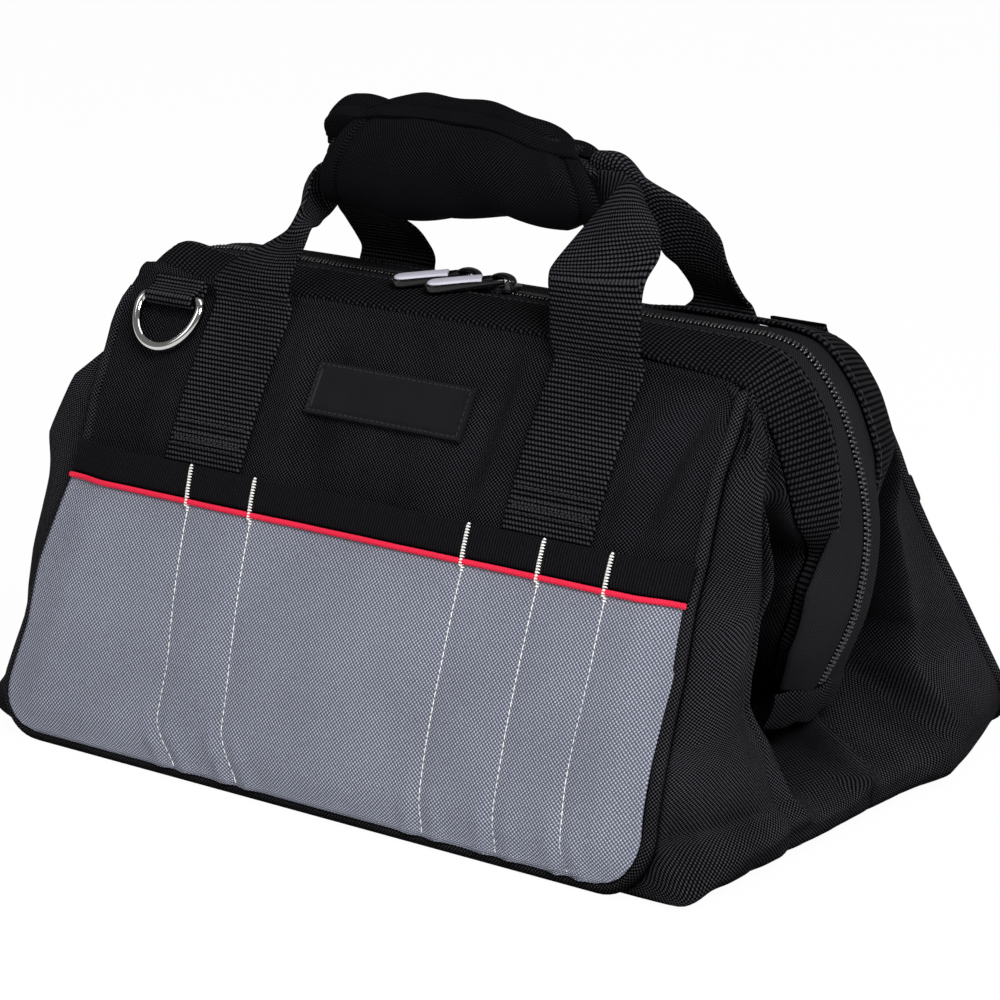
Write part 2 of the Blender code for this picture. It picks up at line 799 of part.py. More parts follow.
# Each row of the free strap between the wall's top and the grip's mouth: how far in, back
# and up it is, and the half width's parts along X, Y and Z against the flat strap's
FAN_SHARES = (
    (0.00, 0.14, 0.16, 1.00, 0.00, 0.00),
    (0.04, 0.36, 0.40, 0.86, 0.02, 0.10),
    (0.12, 0.56, 0.58, 0.58, 0.04, 0.28),
    (0.35, 0.74, 0.74, 0.34, 0.05, 0.40),
    (0.72, 0.92, 0.92, 0.15, 0.03, 0.38),
    (1.00, 1.00, 1.00, 0.00, 0.00, 0.32),
)
MOUTH_GAP = 0.0035
END_GAP = 0.0006


def make_free_strap(end, wall, body):
    face = CLEARANCE + STRAP_THICKNESS
    rows = []
    for i in range(STRAP_WALL_STEPS + 1):
        z = STITCH_TOP + (PANEL_HEIGHT - STITCH_TOP) * i / STRAP_WALL_STEPS
        rows.append((wall_surface(end * STRAP_X, z, wall, face), (1.0, 0.0, 0.0)))
    top = Vector(rows[-1][0])
    inside_y = wall * (STRAP_THICKNESS + 2 * CLEARANCE)
    grip_end = GRIP_ENDS[end]
    mouth = Vector((grip_end + end * MOUTH_GAP, inside_y, grip_middle_z(grip_end)))
    for inward, back, up, along_x, along_y, along_z in FAN_SHARES:
        spot = (
            top.x + (mouth.x - top.x) * inward,
            top.y + (mouth.y - top.y) * back,
            top.z + (mouth.z - top.z) * up,
        )
        rows.append((spot, (along_x, -wall * along_y, end * along_z)))
    core_end = grip_end - end * (CORE_SHORTER - END_GAP)
    inside = (core_end, inside_y, grip_middle_z(core_end))
    rows.append((inside, (0.0, 0.0, end * FAN_SHARES[-1][-1])))
    surface = []
    for centre, reach in rows:
        half = Vector(reach) * (STRAP_WIDTH / 2)
        shares = [2 * j / STRAP_COLUMNS - 1 for j in range(STRAP_COLUMNS + 1)]
        surface.append([tuple(Vector(centre) + half * share) for share in shares])
    name = WALL_NAMES[wall] + "_" + END_NAMES[end] + "_handle_strap"
    sheet(name, surface, STRAP_THICKNESS, body, WEBBING, flipped=wall == REAR)


# Grip: the straps' middles side by side, in a padded wrap that closes with a flap


ARCH_MIDDLE_SHARE = 0.4


def grip_middle_z(x):
    share = (x - GRIP_CENTRE_X) / GRIP_HALF_LENGTH
    return GRIP_CENTRE_Z + GRIP_ARCH * (ARCH_MIDDLE_SHARE - share * share)


def arc(x, radius, start, end, steps):
    """Points in the plane across the grip at x; angle 0 is the rear, 90 degrees the top."""
    middle = grip_middle_z(x)
    points = []
    for i in range(steps + 1):
        angle = start + (end - start) * i / steps
        points.append((x, radius * math.cos(angle), middle + radius * math.sin(angle)))
    return points


def grip_stations(shorter=0.0):
    half = GRIP_HALF_LENGTH - shorter
    return [GRIP_CENTRE_X + half * (2 * i / GRIP_STATIONS - 1) for i in range(GRIP_STATIONS + 1)]


def outer_radius(x):
    """The wrap is full from its left end to the middle and tapers to its right end."""
    share = (x - GRIP_CENTRE_X) / GRIP_HALF_LENGTH
    if share < 0:
        return GRIP_LEFT_RADIUS + (GRIP_RADIUS - GRIP_LEFT_RADIUS) * (1 - share**LEFT_FULLNESS)
    return GRIP_RIGHT_RADIUS + (GRIP_RADIUS - GRIP_RIGHT_RADIUS) * max(0.0, 1 - share) ** RIGHT_TAPER


def flap_pivot():
    """A point on the flap's fold line: as low as the arched seam's left end."""
    fold_y = GRIP_RADIUS * math.cos(SEAM_FOOT_ANGLE)
    fold_z = grip_middle_z(GRIP_ENDS[-1]) + GRIP_LEFT_RADIUS * math.sin(SEAM_FOOT_ANGLE)
    return (GRIP_CENTRE_X, fold_y, fold_z)


CAVITY_RADIUS = CORE_RADIUS + CLEARANCE
LOOP_STRIP_RADIUS = TONGUE_RADIUS + CLEARANCE
HOOK_STRIP_RADIUS = LOOP_STRIP_RADIUS + STRIP_THICKNESS + CLEARANCE
SEAT_RADIUS = HOOK_STRIP_RADIUS + STRIP_THICKNESS + CLEARANCE


def make_grip(handle, flap):
    for wall in (FRONT, REAR):
        base = math.pi / 2 if wall == FRONT else -math.pi / 2
        rings = []
        for x in grip_stations(CORE_SHORTER):
            ring = arc(x, CORE_RADIUS, base, base + math.pi, CORE_STEPS)
            rings.append([(px, py + wall * CLEARANCE / 2, pz) for px, py, pz in ring])
        loft(WALL_NAMES[wall] + "_handle_core", rings, handle, WEBBING)

    pad_top = SEAM_TOP_ANGLE + SEAM_HALF_ANGLE
    flap_top = SEAM_TOP_ANGLE - SEAM_HALF_ANGLE
    full_turn = 2 * math.pi
    pad_foot = SEAM_FOOT_ANGLE - SEAM_HALF_ANGLE + full_turn
    flap_foot = SEAM_FOOT_ANGLE + SEAM_HALF_ANGLE
    pad_rings = []
    flap_rings = []
    for x in grip_stations():
        radius = outer_radius(x)
        tongue = TONGUE_ANGLE + SEAM_HALF_ANGLE * 2
        pad_rings.append(
            arc(x, radius, pad_top, pad_foot, GRIP_ARC_STEPS)
            + arc(x, CAVITY_RADIUS, pad_foot, tongue, GRIP_ARC_STEPS)
            + arc(x, TONGUE_RADIUS, tongue, pad_top, TONGUE_STEPS)
        )
        flap_rings.append(
            arc(x, radius, flap_foot, flap_top, GRIP_ARC_STEPS)
            + arc(x, SEAT_RADIUS, flap_top, TONGUE_ANGLE, TONGUE_STEPS)
            + arc(x, CAVITY_RADIUS, TONGUE_ANGLE, flap_foot, GRIP_ARC_STEPS)
        )
    loft("grip_pad", pad_rings, handle, BLACK_FABRIC)
    loft("grip_flap", flap_rings, flap, BLACK_FABRIC)

    first = TONGUE_ANGLE + STRIP_SETBACK
    last = flap_top - STRIP_SETBACK
    strips = (
        ("grip_loop_strip", LOOP_STRIP_RADIUS, handle),
        ("grip_hook_strip", HOOK_STRIP_RADIUS, flap),
    )
    for name, radius, body in strips:
        rings = []
        for x in grip_stations(STRIP_SHORTER):
            under = arc(x, radius, first, last, TONGUE_STEPS)
            over = arc(x, radius + STRIP_THICKNESS, last, first, TONGUE_STEPS)
            rings.append(under + over)
        loft(name, rings, body, WEBBING)


# Carry rings


def ring_axis(wall):
    """The (y, z) of the ring's straight bar."""
    _, out = wall_slope(RING_BAR_HEIGHT, wall)
    base = Vector(wall_surface(0.0, RING_BAR_HEIGHT, wall)[1:])
    return base + out * (2 * CLEARANCE + LOOP_THICKNESS + RING_WIRE)


def ring_x(wall):
    return wall * RING_X


def make_ring(wall, body):
    axis = ring_axis(wall)
    rise, _ = wall_slope(RING_BAR_HEIGHT - RING_DROP / 2, wall)
    half = RING_WIDTH / 2 - RING_WIRE
    flat = [(-half + RING_CORNER, 0.0), (half - RING_CORNER, 0.0)]
    for i in range(1, RING_CORNER_STEPS + 1):
        turn = i / RING_CORNER_STEPS * math.pi / 2
        across = half - RING_CORNER + RING_CORNER * math.sin(turn)
        flat.append((across, -RING_CORNER * (1 - math.cos(turn))))
    depth = RING_DROP - RING_CORNER
    for i in range(1, RING_BOW_STEPS):
        turn = i / RING_BOW_STEPS * math.pi
        flat.append((half * math.cos(turn), -RING_CORNER - depth * math.sin(turn)))
    for i in range(RING_CORNER_STEPS, 0, -1):
        turn = i / RING_CORNER_STEPS * math.pi / 2
        across = half - RING_CORNER + RING_CORNER * math.sin(turn)
        flat.append((-across, -RING_CORNER * (1 - math.cos(turn))))
    points = []
    for across, up in flat:
        spot = axis + rise * up
        points.append((ring_x(wall) + across, spot.x, spot.y))
    tube(WALL_NAMES[wall] + "_ring", points, RING_WIRE, 2, body, NICKEL, closed=True)


def make_ring_loop(wall, body):
    """Webbing folded round the ring's bar, both ends held in the wall's top seam."""
    axis = ring_axis(wall)
    rise, out = wall_slope(RING_BAR_HEIGHT, wall)
    radius = RING_WIRE + CLEARANCE + LOOP_THICKNESS
    seam = Vector(wall_surface(0.0, PANEL_HEIGHT, wall)[1:])
    seam.y = LOOP_TOP
    inner_top = seam + out * (CLEARANCE / 2)
    outer_top = inner_top + out * (2 * LOOP_THICKNESS + CLEARANCE)
    bend = []
    for i in range(LOOP_STEPS + 1):
        turn = math.pi * i / LOOP_STEPS
        bend.append(axis + out * (radius * math.cos(turn)) - rise * (radius * math.sin(turn)))
    profile = [outer_top, *bend, inner_top]
    rows = []
    for j in range(3):
        x = ring_x(wall) + LOOP_WIDTH * (j / 2 - 0.5)
        rows.append([(x, spot.x, spot.y) for spot in profile])
    name = WALL_NAMES[wall] + "_ring_loop"
    sheet(name, rows, LOOP_THICKNESS, body, WEBBING, flipped=wall == REAR)


# Label patch


def make_label(body):
    rise, out = wall_slope(LABEL_Z, FRONT)
    lean = math.atan2(-rise.x, rise.y)

    def plate(bm):
        size = (LABEL_WIDTH, LABEL_THICKNESS, LABEL_HEIGHT)
        box_mesh(bm, size, (0, -LABEL_THICKNESS / 2, 0))
        upright = [edge for edge in bm.edges if abs(edge.verts[0].co.y - edge.verts[1].co.y) > 0]
        bmesh.ops.bevel(
            bm, geom=upright, offset=LABEL_ROUND, segments=2, profile=0.5, affect="EDGES"
        )
        face = min(bm.faces, key=lambda one: one.calc_center_median().y)
        bmesh.ops.inset_region(bm, faces=[face], thickness=LABEL_BORDER)
        bmesh.ops.translate(bm, vec=(0, LABEL_RELIEF, 0), verts=face.verts)

    obj = mesh_from("label_patch", plate)
    base = wall_surface(LABEL_X, LABEL_Z, FRONT)
    gap = out * (CLEARANCE * 2)
    turn = Matrix.Rotation(lean, 4, "X")
    obj.data.transform(Matrix.Translation((base[0], base[1] + gap.x, base[2] + gap.y)) @ turn)
    attach(obj, body, LABEL_RUBBER)


# Zipper sliders and pulls

SLIDER_HALF_GAP = COIL_HEIGHT / 2 + CLEARANCE
SLIDER_FACE = ZIPPER_TOP + SLIDER_HALF_GAP + SLIDER_PLATE
PULL_AXIS_Z = SLIDER_FACE + CROWN_ROOM / 2


def slider_mesh():
    """Two plates either side of the coil, the post between them and the crown on top."""
    bm = bmesh.new()
    offset = SLIDER_HALF_GAP + SLIDER_PLATE / 2
    for up in (-1, 1):
        box_mesh(bm, (SLIDER_LENGTH, SLIDER_WIDTH, SLIDER_PLATE), (0, 0, up * offset))
    bmesh.ops.bevel(
        bm, geom=list(bm.edges), offset=SLIDER_CORNER, segments=1, affect="EDGES"
    )
    mesh = bpy.data.meshes.new("slider_plates")
    bm.to_mesh(mesh)
    bm.free()
    return mesh


def extrude_across(bm, outline, width):
    """Fills an (x, z) outline with a face and pulls it to a width along Y."""
    ring = [bm.verts.new((x, -width / 2, z)) for x, z in outline]
    found = bmesh.ops.extrude_face_region(bm, geom=[bm.faces.new(ring)])
    moved = [item for item in found["geom"] if isinstance(item, bmesh.types.BMVert)]
    bmesh.ops.translate(bm, vec=(0, width, 0), verts=moved)
    bmesh.ops.recalc_face_normals(bm, faces=bm.faces)


def crown(bm):
    """The bridge on top of the slider, with its feet sunk in the top plate."""
    foot = SLIDER_HALF_GAP + SLIDER_PLATE / 2
    face = SLIDER_HALF_GAP + SLIDER_PLATE
    outline = []
    for inset, order in ((0.0, 1), (CROWN_THICKNESS, -1)):
        half = CROWN_SPAN / 2 - inset
        rise = CROWN_ROOM + CROWN_THICKNESS - inset
        side = []
        for i in range(CROWN_STEPS + 1):
            angle = math.pi * i / CROWN_STEPS
            high = math.sin(angle) ** CROWN_SQUARENESS_SHARE
            side.append((half * math.cos(angle), face + rise * high))
        side = [(half, foot), *side, (-half, foot)]
        outline += side[::order]
    extrude_across(bm, outline, CROWN_WIDTH)


def helper(obj):
    """Keeps a shape that another piece joins or cuts out of the finished object."""
    if obj.name not in CUTTERS.objects:
        CUTTERS.objects.link(obj)
    obj.hide_render = True
    obj.display_type = "WIRE"
    return obj


def boolean(obj, other, operation):
    modifier = obj.modifiers.new(operation.lower(), "BOOLEAN")
    modifier.operation = operation
    modifier.solver = "EXACT"
    modifier.object = helper(other)


def make_slider(end, place, body, shared):
    def post(bm):
        height = 2 * SLIDER_HALF_GAP + SLIDER_PLATE
        box_mesh(bm, (SLIDER_POST_LENGTH, SLIDER_POST_WIDTH, height), (0, 0, 0))

    name = END_NAMES[end] + "_slider"
    obj = bpy.data.objects.new(name, shared)
    BAG.objects.link(obj)
    obj.parent = body
    if not shared.materials:
        shared.materials.append(BLACK_METAL)
    for build in (post, crown):
        other = mesh_from(name + "_" + build.__name__, build)
        other.location = place
        boolean(obj, other, "UNION")
    return obj


def round_bar(bm, radius, length, matrix):
    bmesh.ops.create_cone(
        bm,
        cap_ends=True,
        segments=ROUND_SIDES,
        radius1=radius,
        radius2=radius,
        depth=length,
        matrix=matrix,
    )


def make_pull(end, turn, body):
    """A flat tab whose end bar turns under the slider's crown, lying towards the left."""
    name = END_NAMES[end] + "_pull"
    lay = Matrix.Rotation(turn, 4, "Z") @ Matrix.Rotation(-PULL_DROOP, 4, "Y")
    half = PULL_WIDTH / 2
    run = PULL_LENGTH - half

    def plate(bm):
        box_mesh(bm, (run, PULL_WIDTH, PULL_THICKNESS), (-run / 2, 0, 0))

    def tip(bm):
        round_bar(bm, half, PULL_THICKNESS, Matrix.Translation((-run, 0, 0)))

    def slot(bm):
        size = (2 * (PULL_BAR_RADIUS + PULL_SLOT), PULL_WIDTH - 2 * PULL_ARM, 2 * PULL_THICKNESS)
        box_mesh(bm, size, (0, 0, 0))

    def bar(bm):
        round_bar(bm, PULL_BAR_RADIUS, PULL_WIDTH, Matrix.Rotation(math.pi / 2, 4, "X"))

    obj = mesh_from(name, plate)
    obj.data.transform(lay)
    BAG.objects.link(obj)
    obj.data.materials.append(BLACK_METAL)
    obj.parent = body
    for build, operation in ((tip, "UNION"), (slot, "DIFFERENCE"), (bar, "UNION")):
        other = mesh_from(name + "_" + build.__name__, build)
        other.data.transform(lay)
        other.location = world_place(body)
        boolean(obj, other, operation)
    smooth(obj)

    def insert(bm):
        centre = -PULL_BAR_RADIUS - PULL_SLOT - INSERT_MARGIN - INSERT_LENGTH / 2
        up = PULL_THICKNESS / 2 + CLEARANCE + INSERT_THICKNESS / 2
        box_mesh(bm, (INSERT_LENGTH, INSERT_WIDTH, INSERT_THICKNESS), (centre, 0, up))
        upright = [edge for edge in bm.edges if abs(edge.verts[0].co.z - edge.verts[1].co.z) > 0]
        bmesh.ops.bevel(
            bm, geom=upright, offset=INSERT_ROUND, segments=3, profile=0.5, affect="EDGES"
        )

    pad = mesh_from(name + "_insert", insert)
    pad.data.transform(lay)
    BAG.objects.link(pad)
    pad.data.materials.append(GREY_RUBBER)
    pad.parent = body


def make_tool_bag():
    base = new_body("base", (0, 0, 0))
    make_base(base)
    for end in (-1, 1):
        make_zipper_tab(end, base)

    sides = {}
    for wall in (FRONT, REAR):
        hinge_y = wall * piping_y(PIPING_RADIUS, wall)
        side = new_body(WALL_NAMES[wall] + "_side", (0, hinge_y, PIPING_RADIUS), base)
        sides[wall] = side
        make_wall(wall, side)
        make_piping(wall, side)
        make_pocket(wall, side)
        make_zipper(wall, side)
        for end in (-1, 1):
            make_gusset(end, wall, side)
            make_stitched_strap(end, wall, side)
        make_ring_loop(wall, side)
        axis = ring_axis(wall)
        ring = new_body(WALL_NAMES[wall] + "_ring", (ring_x(wall), axis.x, axis.y), side)
        make_ring(wall, ring)
    make_label(sides[FRONT])

    handle = new_body("handle", (0, 0, PANEL_HEIGHT), base)
    flap = new_body("grip_flap", flap_pivot(), handle)
    make_grip(handle, flap)
    for wall in (FRONT, REAR):
        for end in (-1, 1):
            make_free_strap(end, wall, handle)

    shared = slider_mesh()
    pulls = ((-1, LEFT_SLIDER_X, LEFT_PULL_TURN), (1, RIGHT_SLIDER_X, RIGHT_PULL_TURN))
    for end, x, turn in pulls:
        slider = new_body(END_NAMES[end] + "_slider", (x, 0, ZIPPER_TOP), sides[FRONT])
        make_slider(end, (x, 0, ZIPPER_TOP), slider, shared)
        pull = new_body(END_NAMES[end] + "_pull", (x, 0, PULL_AXIS_Z), slider)
        make_pull(end, turn, pull)
    bpy.context.view_layer.update()


make_tool_bag()
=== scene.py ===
"""Looks of the tool bag: its fabric, webbing, thread, zipper and metal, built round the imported
CAD model, with the stage, the lights and the camera."""

import math

import bmesh
import bpy
import numpy as np
from mathutils import Matrix, Vector


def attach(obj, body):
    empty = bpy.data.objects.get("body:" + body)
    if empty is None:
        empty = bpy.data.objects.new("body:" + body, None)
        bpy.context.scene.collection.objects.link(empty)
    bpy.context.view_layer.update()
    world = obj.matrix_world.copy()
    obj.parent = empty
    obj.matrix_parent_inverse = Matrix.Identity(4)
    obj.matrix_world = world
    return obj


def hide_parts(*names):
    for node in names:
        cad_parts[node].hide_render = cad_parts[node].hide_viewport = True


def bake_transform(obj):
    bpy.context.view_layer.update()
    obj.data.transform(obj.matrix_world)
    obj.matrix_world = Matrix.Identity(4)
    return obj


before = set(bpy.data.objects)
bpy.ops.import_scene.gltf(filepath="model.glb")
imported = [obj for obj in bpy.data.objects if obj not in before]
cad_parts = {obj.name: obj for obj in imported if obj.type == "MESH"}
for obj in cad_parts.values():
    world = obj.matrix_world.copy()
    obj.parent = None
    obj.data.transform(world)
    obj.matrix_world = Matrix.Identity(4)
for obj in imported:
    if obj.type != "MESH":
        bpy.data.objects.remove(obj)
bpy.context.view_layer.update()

# Sizes that repeat the CAD source, in metres

BASE_LENGTH = 0.317
BASE_WIDTH = 0.216
PANEL_HEIGHT = 0.162
TOP_LENGTH = 0.298
TOP_WIDTH = 0.064
CORNER_RADIUS = 0.022
WALL_INSET = 0.0008
PIPING_RADIUS = 0.0022
CLEARANCE = 0.0003
FLAT_HALF_LENGTH = BASE_LENGTH / 2 - CORNER_RADIUS
ZIPPER_TOP = PANEL_HEIGHT + 0.008
ZIPPER_REACH = TOP_LENGTH / 2 + 0.0215
ZIPPER_END_HEIGHT = 0.046
ZIPPER_STRAIGHT = ZIPPER_REACH - 0.0405
BAND_OUTER = 0.0284
BAND_DROP = 0.0080
POCKET_HEIGHT = 0.0945
POCKET_CORD_Z = POCKET_HEIGHT + 0.0012
BINDING_FOOT = POCKET_CORD_Z + 0.0012
BINDING_TOP = BINDING_FOOT + 0.0108
SEAM_TOP = math.radians(128)
SEAM_FOOT = math.radians(-59)
RING_X = TOP_LENGTH / 2 - 0.0240
RING_WIDTH = 0.0355
RING_DROP = 0.0215
RING_WIRE = 0.0019
RING_BAR_HEIGHT = PANEL_HEIGHT - 0.0045
LABEL_X = -0.0055
LABEL_Z = PANEL_HEIGHT - 0.0235
LABEL_WIDTH = 0.0765
LABEL_HEIGHT = 0.0205
SLIDER_X = {-1: -0.008, 1: 0.0085}
PULL_TURN = {-1: math.radians(38), 1: math.radians(39)}
PULL_DROOP = math.radians(3)
CROWN_ROOM = 0.0034
SLIDER_FACE = ZIPPER_TOP + 0.0028
PULL_AXIS_Z = SLIDER_FACE + CROWN_ROOM / 2

FRONT = -1
REAR = 1
WALL_NAMES = {FRONT: "front", REAR: "rear"}
END_NAMES = {-1: "left", 1: "right"}
SIDE = {FRONT: "front_side", REAR: "rear_side"}
MM = 0.001

# Shapes of the walls


def smooth(t):
    t = np.clip(t, 0.0, 1.0)
    return t * t * (3.0 - 2.0 * t)


def ramp(value, start, width):
    """0 up to a start and 1 from a width beyond it, with a soft change between."""
    return smooth((value - start) / width)


def bump(value, centre, width):
    """1 at a centre, fading to 0 on both sides."""
    return np.exp(-((value - centre) / width) ** 2)


def unit(vector):
    return vector / np.linalg.norm(vector)


def wall_y(z, wall):
    share = np.asarray(z) / PANEL_HEIGHT
    bulge = 0.5 if wall == FRONT else 0.0
    leaned = share + bulge * share * (share - 1.0)
    return BASE_WIDTH / 2 + (TOP_WIDTH - BASE_WIDTH) / 2 * leaned


def half_length(z):
    share = np.maximum(0.0, (z - CORNER_RADIUS) / (PANEL_HEIGHT - CORNER_RADIUS))
    return BASE_LENGTH / 2 + (TOP_LENGTH - BASE_LENGTH) / 2 * share


def outline_limit(z, inset):
    """Half the width of a layer at a height, inside the wall's outline by an inset."""
    z = np.asarray(z, float)
    radius = CORNER_RADIUS - inset
    below = np.clip(CORNER_RADIUS - z, 0.0, radius)
    corner = FLAT_HALF_LENGTH + np.sqrt(np.maximum(0.0, radius**2 - below**2))
    return np.where(z < CORNER_RADIUS, corner, half_length(z) - inset)


def wall_lean(z, wall, step=0.0005):
    """How far the wall moves out for each metre up."""
    return (wall_y(z + step, wall) - wall_y(z - step, wall)) / (2 * step)


def slant(z, wall):
    return np.sqrt(1.0 + wall_lean(z, wall) ** 2)


def wall_frame(z, wall):
    """Unit vectors up the wall and out of it."""
    rise = unit(np.array([0.0, wall * float(wall_lean(z, wall)), 1.0]))
    out = np.array([0.0, wall * rise[2], -wall * rise[1]])
    return rise, out


def on_wall(x, z, wall, off=0.0):
    """Points on the wall's outer side, or off it by a distance square to the wall."""
    x, z, off = np.broadcast_arrays(np.asarray(x, float), np.asarray(z, float), off)
    y = wall * (wall_y(z, wall) - WALL_INSET + off * slant(z, wall))
    return np.stack([x, y, z], axis=-1)


def from_table(at, places, values):
    """Values between those of a table in millimetres, at places in metres."""
    return np.interp(at, np.array(places) * MM, np.array(values) * MM)


# How far each side seam has settled outwards, as (height, shift) in millimetres for (wall, end)
SEAM_SETTLING = {
    (FRONT, -1): ((0, 8.5), (15, 8.0), (42, 2.8), (64, 3.0), (78, 0.6), (95, -1.8), (105, -2.0), (122, 2.3),
                  (139, 4.3), (154, 7.8), (168, 5.0)),
    (FRONT, 1): ((0, -3.0), (28, -3.6), (48, -2.6), (72, -0.8), (94, -1.6), (108, -0.8), (134, -2.8),
                 (152, -1.0), (162, 0.0)),
    (REAR, -1): ((0, 0.0), (60, -1.0), (120, 1.0), (168, 0.0)),
    (REAR, 1): ((0, 0.0), (30, -2.0), (64, -4.0), (84, -5.8), (104, -6.2), (117, -4.8), (138, -4.4),
                (152, -5.6), (164, -10.0)),
}
SETTLING_STARTS = 0.100
SETTLING_GROWS_OVER = 0.045


def settle(points, wall, near=1.0):
    """Shifts a wall's layers with its settled side seams; near fades it away from the wall."""
    result = np.array(points, float)
    x, z = result[..., 0].copy(), result[..., 2]
    for end in (-1, 1):
        shift = from_table(z, *zip(*SEAM_SETTLING[(wall, end)]))
        result[..., 0] += end * shift * ramp(x * end, SETTLING_STARTS, SETTLING_GROWS_OVER) * near
    return result


# Mesh helpers


def mesh_object(name, points, faces, uvs, material, sharp=50):
    mesh = bpy.data.meshes.new(name)
    mesh.from_pydata([tuple(p) for p in points], [], [tuple(f) for f in faces])
    if uvs is not None:
        layer = mesh.uv_layers.new(name="UVMap")
        index = np.zeros(len(mesh.loops), int)
        mesh.loops.foreach_get("vertex_index", index)
        layer.data.foreach_set("uv", np.asarray(uvs, np.float32)[index].ravel())
    mesh.materials.append(material)
    mesh.validate()
    obj = bpy.data.objects.new(name, mesh)
    bpy.context.scene.collection.objects.link(obj)
    mesh.shade_smooth()
    mesh.set_sharp_from_angle(angle=math.radians(sharp))
    return obj


def run_lengths(path):
    """Distance along a path from its first point to each."""
    return np.concatenate([[0.0], np.cumsum(np.linalg.norm(np.diff(path, axis=0), axis=1))])


def rows_apart(grid):
    """Distance from the first row to each, averaged over the columns."""
    step = np.linalg.norm(np.diff(grid, axis=0), axis=2).mean(axis=1)
    return np.concatenate([[0.0], np.cumsum(step)])


def sheet_uv(grid):
    step = np.linalg.norm(np.diff(grid, axis=1), axis=2)
    across = np.concatenate([np.zeros((grid.shape[0], 1)), np.cumsum(step, axis=1)], axis=1)
    across -= across.mean(axis=1, keepdims=True)
    return np.stack([across, np.repeat(rows_apart(grid)[:, None], grid.shape[1], 1)], axis=-1)


def grid_faces(rows, columns, closed=False):
    faces = []
    for i in range(rows - 1):
        for j in range(columns if closed else columns - 1):
            k = (j + 1) % columns
            a, b = i * columns, (i + 1) * columns
            faces.append((a + j, a + k, b + k, b + j))
    return faces


def closed_faces(rows, columns):
    """Faces of a stack of rings with both ends filled."""
    last = (rows - 1) * columns
    ends = [tuple(range(columns))[::-1], tuple(last + i for i in range(columns))]
    return grid_faces(rows, columns, closed=True) + ends


def cloth(name, grid, material, thickness, flip=False):
    """An open sheet of fabric whose outer side is given, thickened inwards."""
    faces = grid_faces(*grid.shape[:2])
    if flip:
        faces = [f[::-1] for f in faces]
    obj = mesh_object(name, grid.reshape(-1, 3), faces, sheet_uv(grid).reshape(-1, 2), material)
    modifier = obj.modifiers.new("thickness", "SOLIDIFY")
    modifier.thickness = thickness
    modifier.offset = -1.0
    return obj


RIM_SHARES = np.array([0.0, 0.12, 0.4, 1.0])
MOST_RIM_SHARE = 0.4


def slab(name, grid, material, thickness):
    """A flat band of webbing with rounded edges, about the middle surface that is given."""
    rows, columns = grid.shape[:2]
    width = np.linalg.norm(np.diff(grid, axis=1), axis=2).sum(axis=1).max()
    edge = min(MOST_RIM_SHARE, thickness / width)
    rim = RIM_SHARES * edge
    inner = np.linspace(edge, 1.0 - edge, columns + 2)[1:-1]
    shares = np.concatenate([rim, inner, 1.0 - rim[::-1]])
    source = np.linspace(0.0, 1.0, columns)
    middle = np.array([[np.interp(shares, source, row[:, c]) for c in range(3)] for row in grid])
    middle = middle.transpose(0, 2, 1)
    near = np.minimum(shares, 1.0 - shares) / edge
    profile = np.sqrt(np.clip(1.0 - (1.0 - np.minimum(near, 1.0)) ** 2, 0.0, 1.0))
    normal = np.cross(np.gradient(middle, axis=1), np.gradient(middle, axis=0))
    normal /= np.maximum(np.linalg.norm(normal, axis=2, keepdims=True), 1e-12)
    lift = normal * (profile * thickness / 2)[None, :, None]
    top, bottom = middle + lift, middle - lift
    u = ((shares - 0.5) * width)[None, :]
    uv = np.stack(np.broadcast_arrays(u, rows_apart(grid)[:, None]), axis=-1)
    ring = np.concatenate([top, bottom[:, -2:0:-1]], axis=1)
    uv = np.concatenate([uv, uv[:, -2:0:-1]], axis=1)
    faces = [f[::-1] for f in closed_faces(rows, ring.shape[1])]
    return mesh_object(name, ring.reshape(-1, 3), faces, uv.reshape(-1, 2), material)


FIRST_SIDE = (0.3, 0.5, 0.81)


def tube(name, path, radius, material, sides=12, closed=False):
    """A round cord along a path, with its UVs in metres."""
    path = np.asarray(path, float)
    count = len(path)
    if closed:
        tangent = np.roll(path, -1, 0) - np.roll(path, 1, 0)
    else:
        tangent = np.gradient(path, axis=0)
    tangent /= np.linalg.norm(tangent, axis=1, keepdims=True)
    side = unit(np.cross(tangent[0], FIRST_SIDE))
    run = run_lengths(path)
    points, uvs = [], []
    for i in range(count):
        side = unit(side - tangent[i] * (side @ tangent[i]))
        other = np.cross(tangent[i], side)
        for j in range(sides):
            angle = 2 * math.pi * j / sides
            points.append(path[i] + radius * (math.cos(angle) * side + math.sin(angle) * other))
            uvs.append((radius * angle, run[i]))
    if not closed:
        return mesh_object(name, points, closed_faces(count, sides), uvs, material)
    faces = grid_faces(count, sides, closed=True)
    last = (count - 1) * sides
    shift = int(np.argmin(np.linalg.norm(np.array(points[last:]) - points[0], axis=1)))
    for j in range(sides):
        a, b = last + (j + shift) % sides, last + (j + 1 + shift) % sides
        faces.append((a, b, (j + 1) % sides, j))
    return mesh_object(name, points, faces, uvs, material)


# A stitch's round ends, as (share of its length, share of its radius)
STITCH_SHARES = ((0.0, 0.35), (0.12, 0.85), (0.5, 1.0), (0.88, 0.85), (1.0, 0.35))
SUNK_SHARE = 0.4


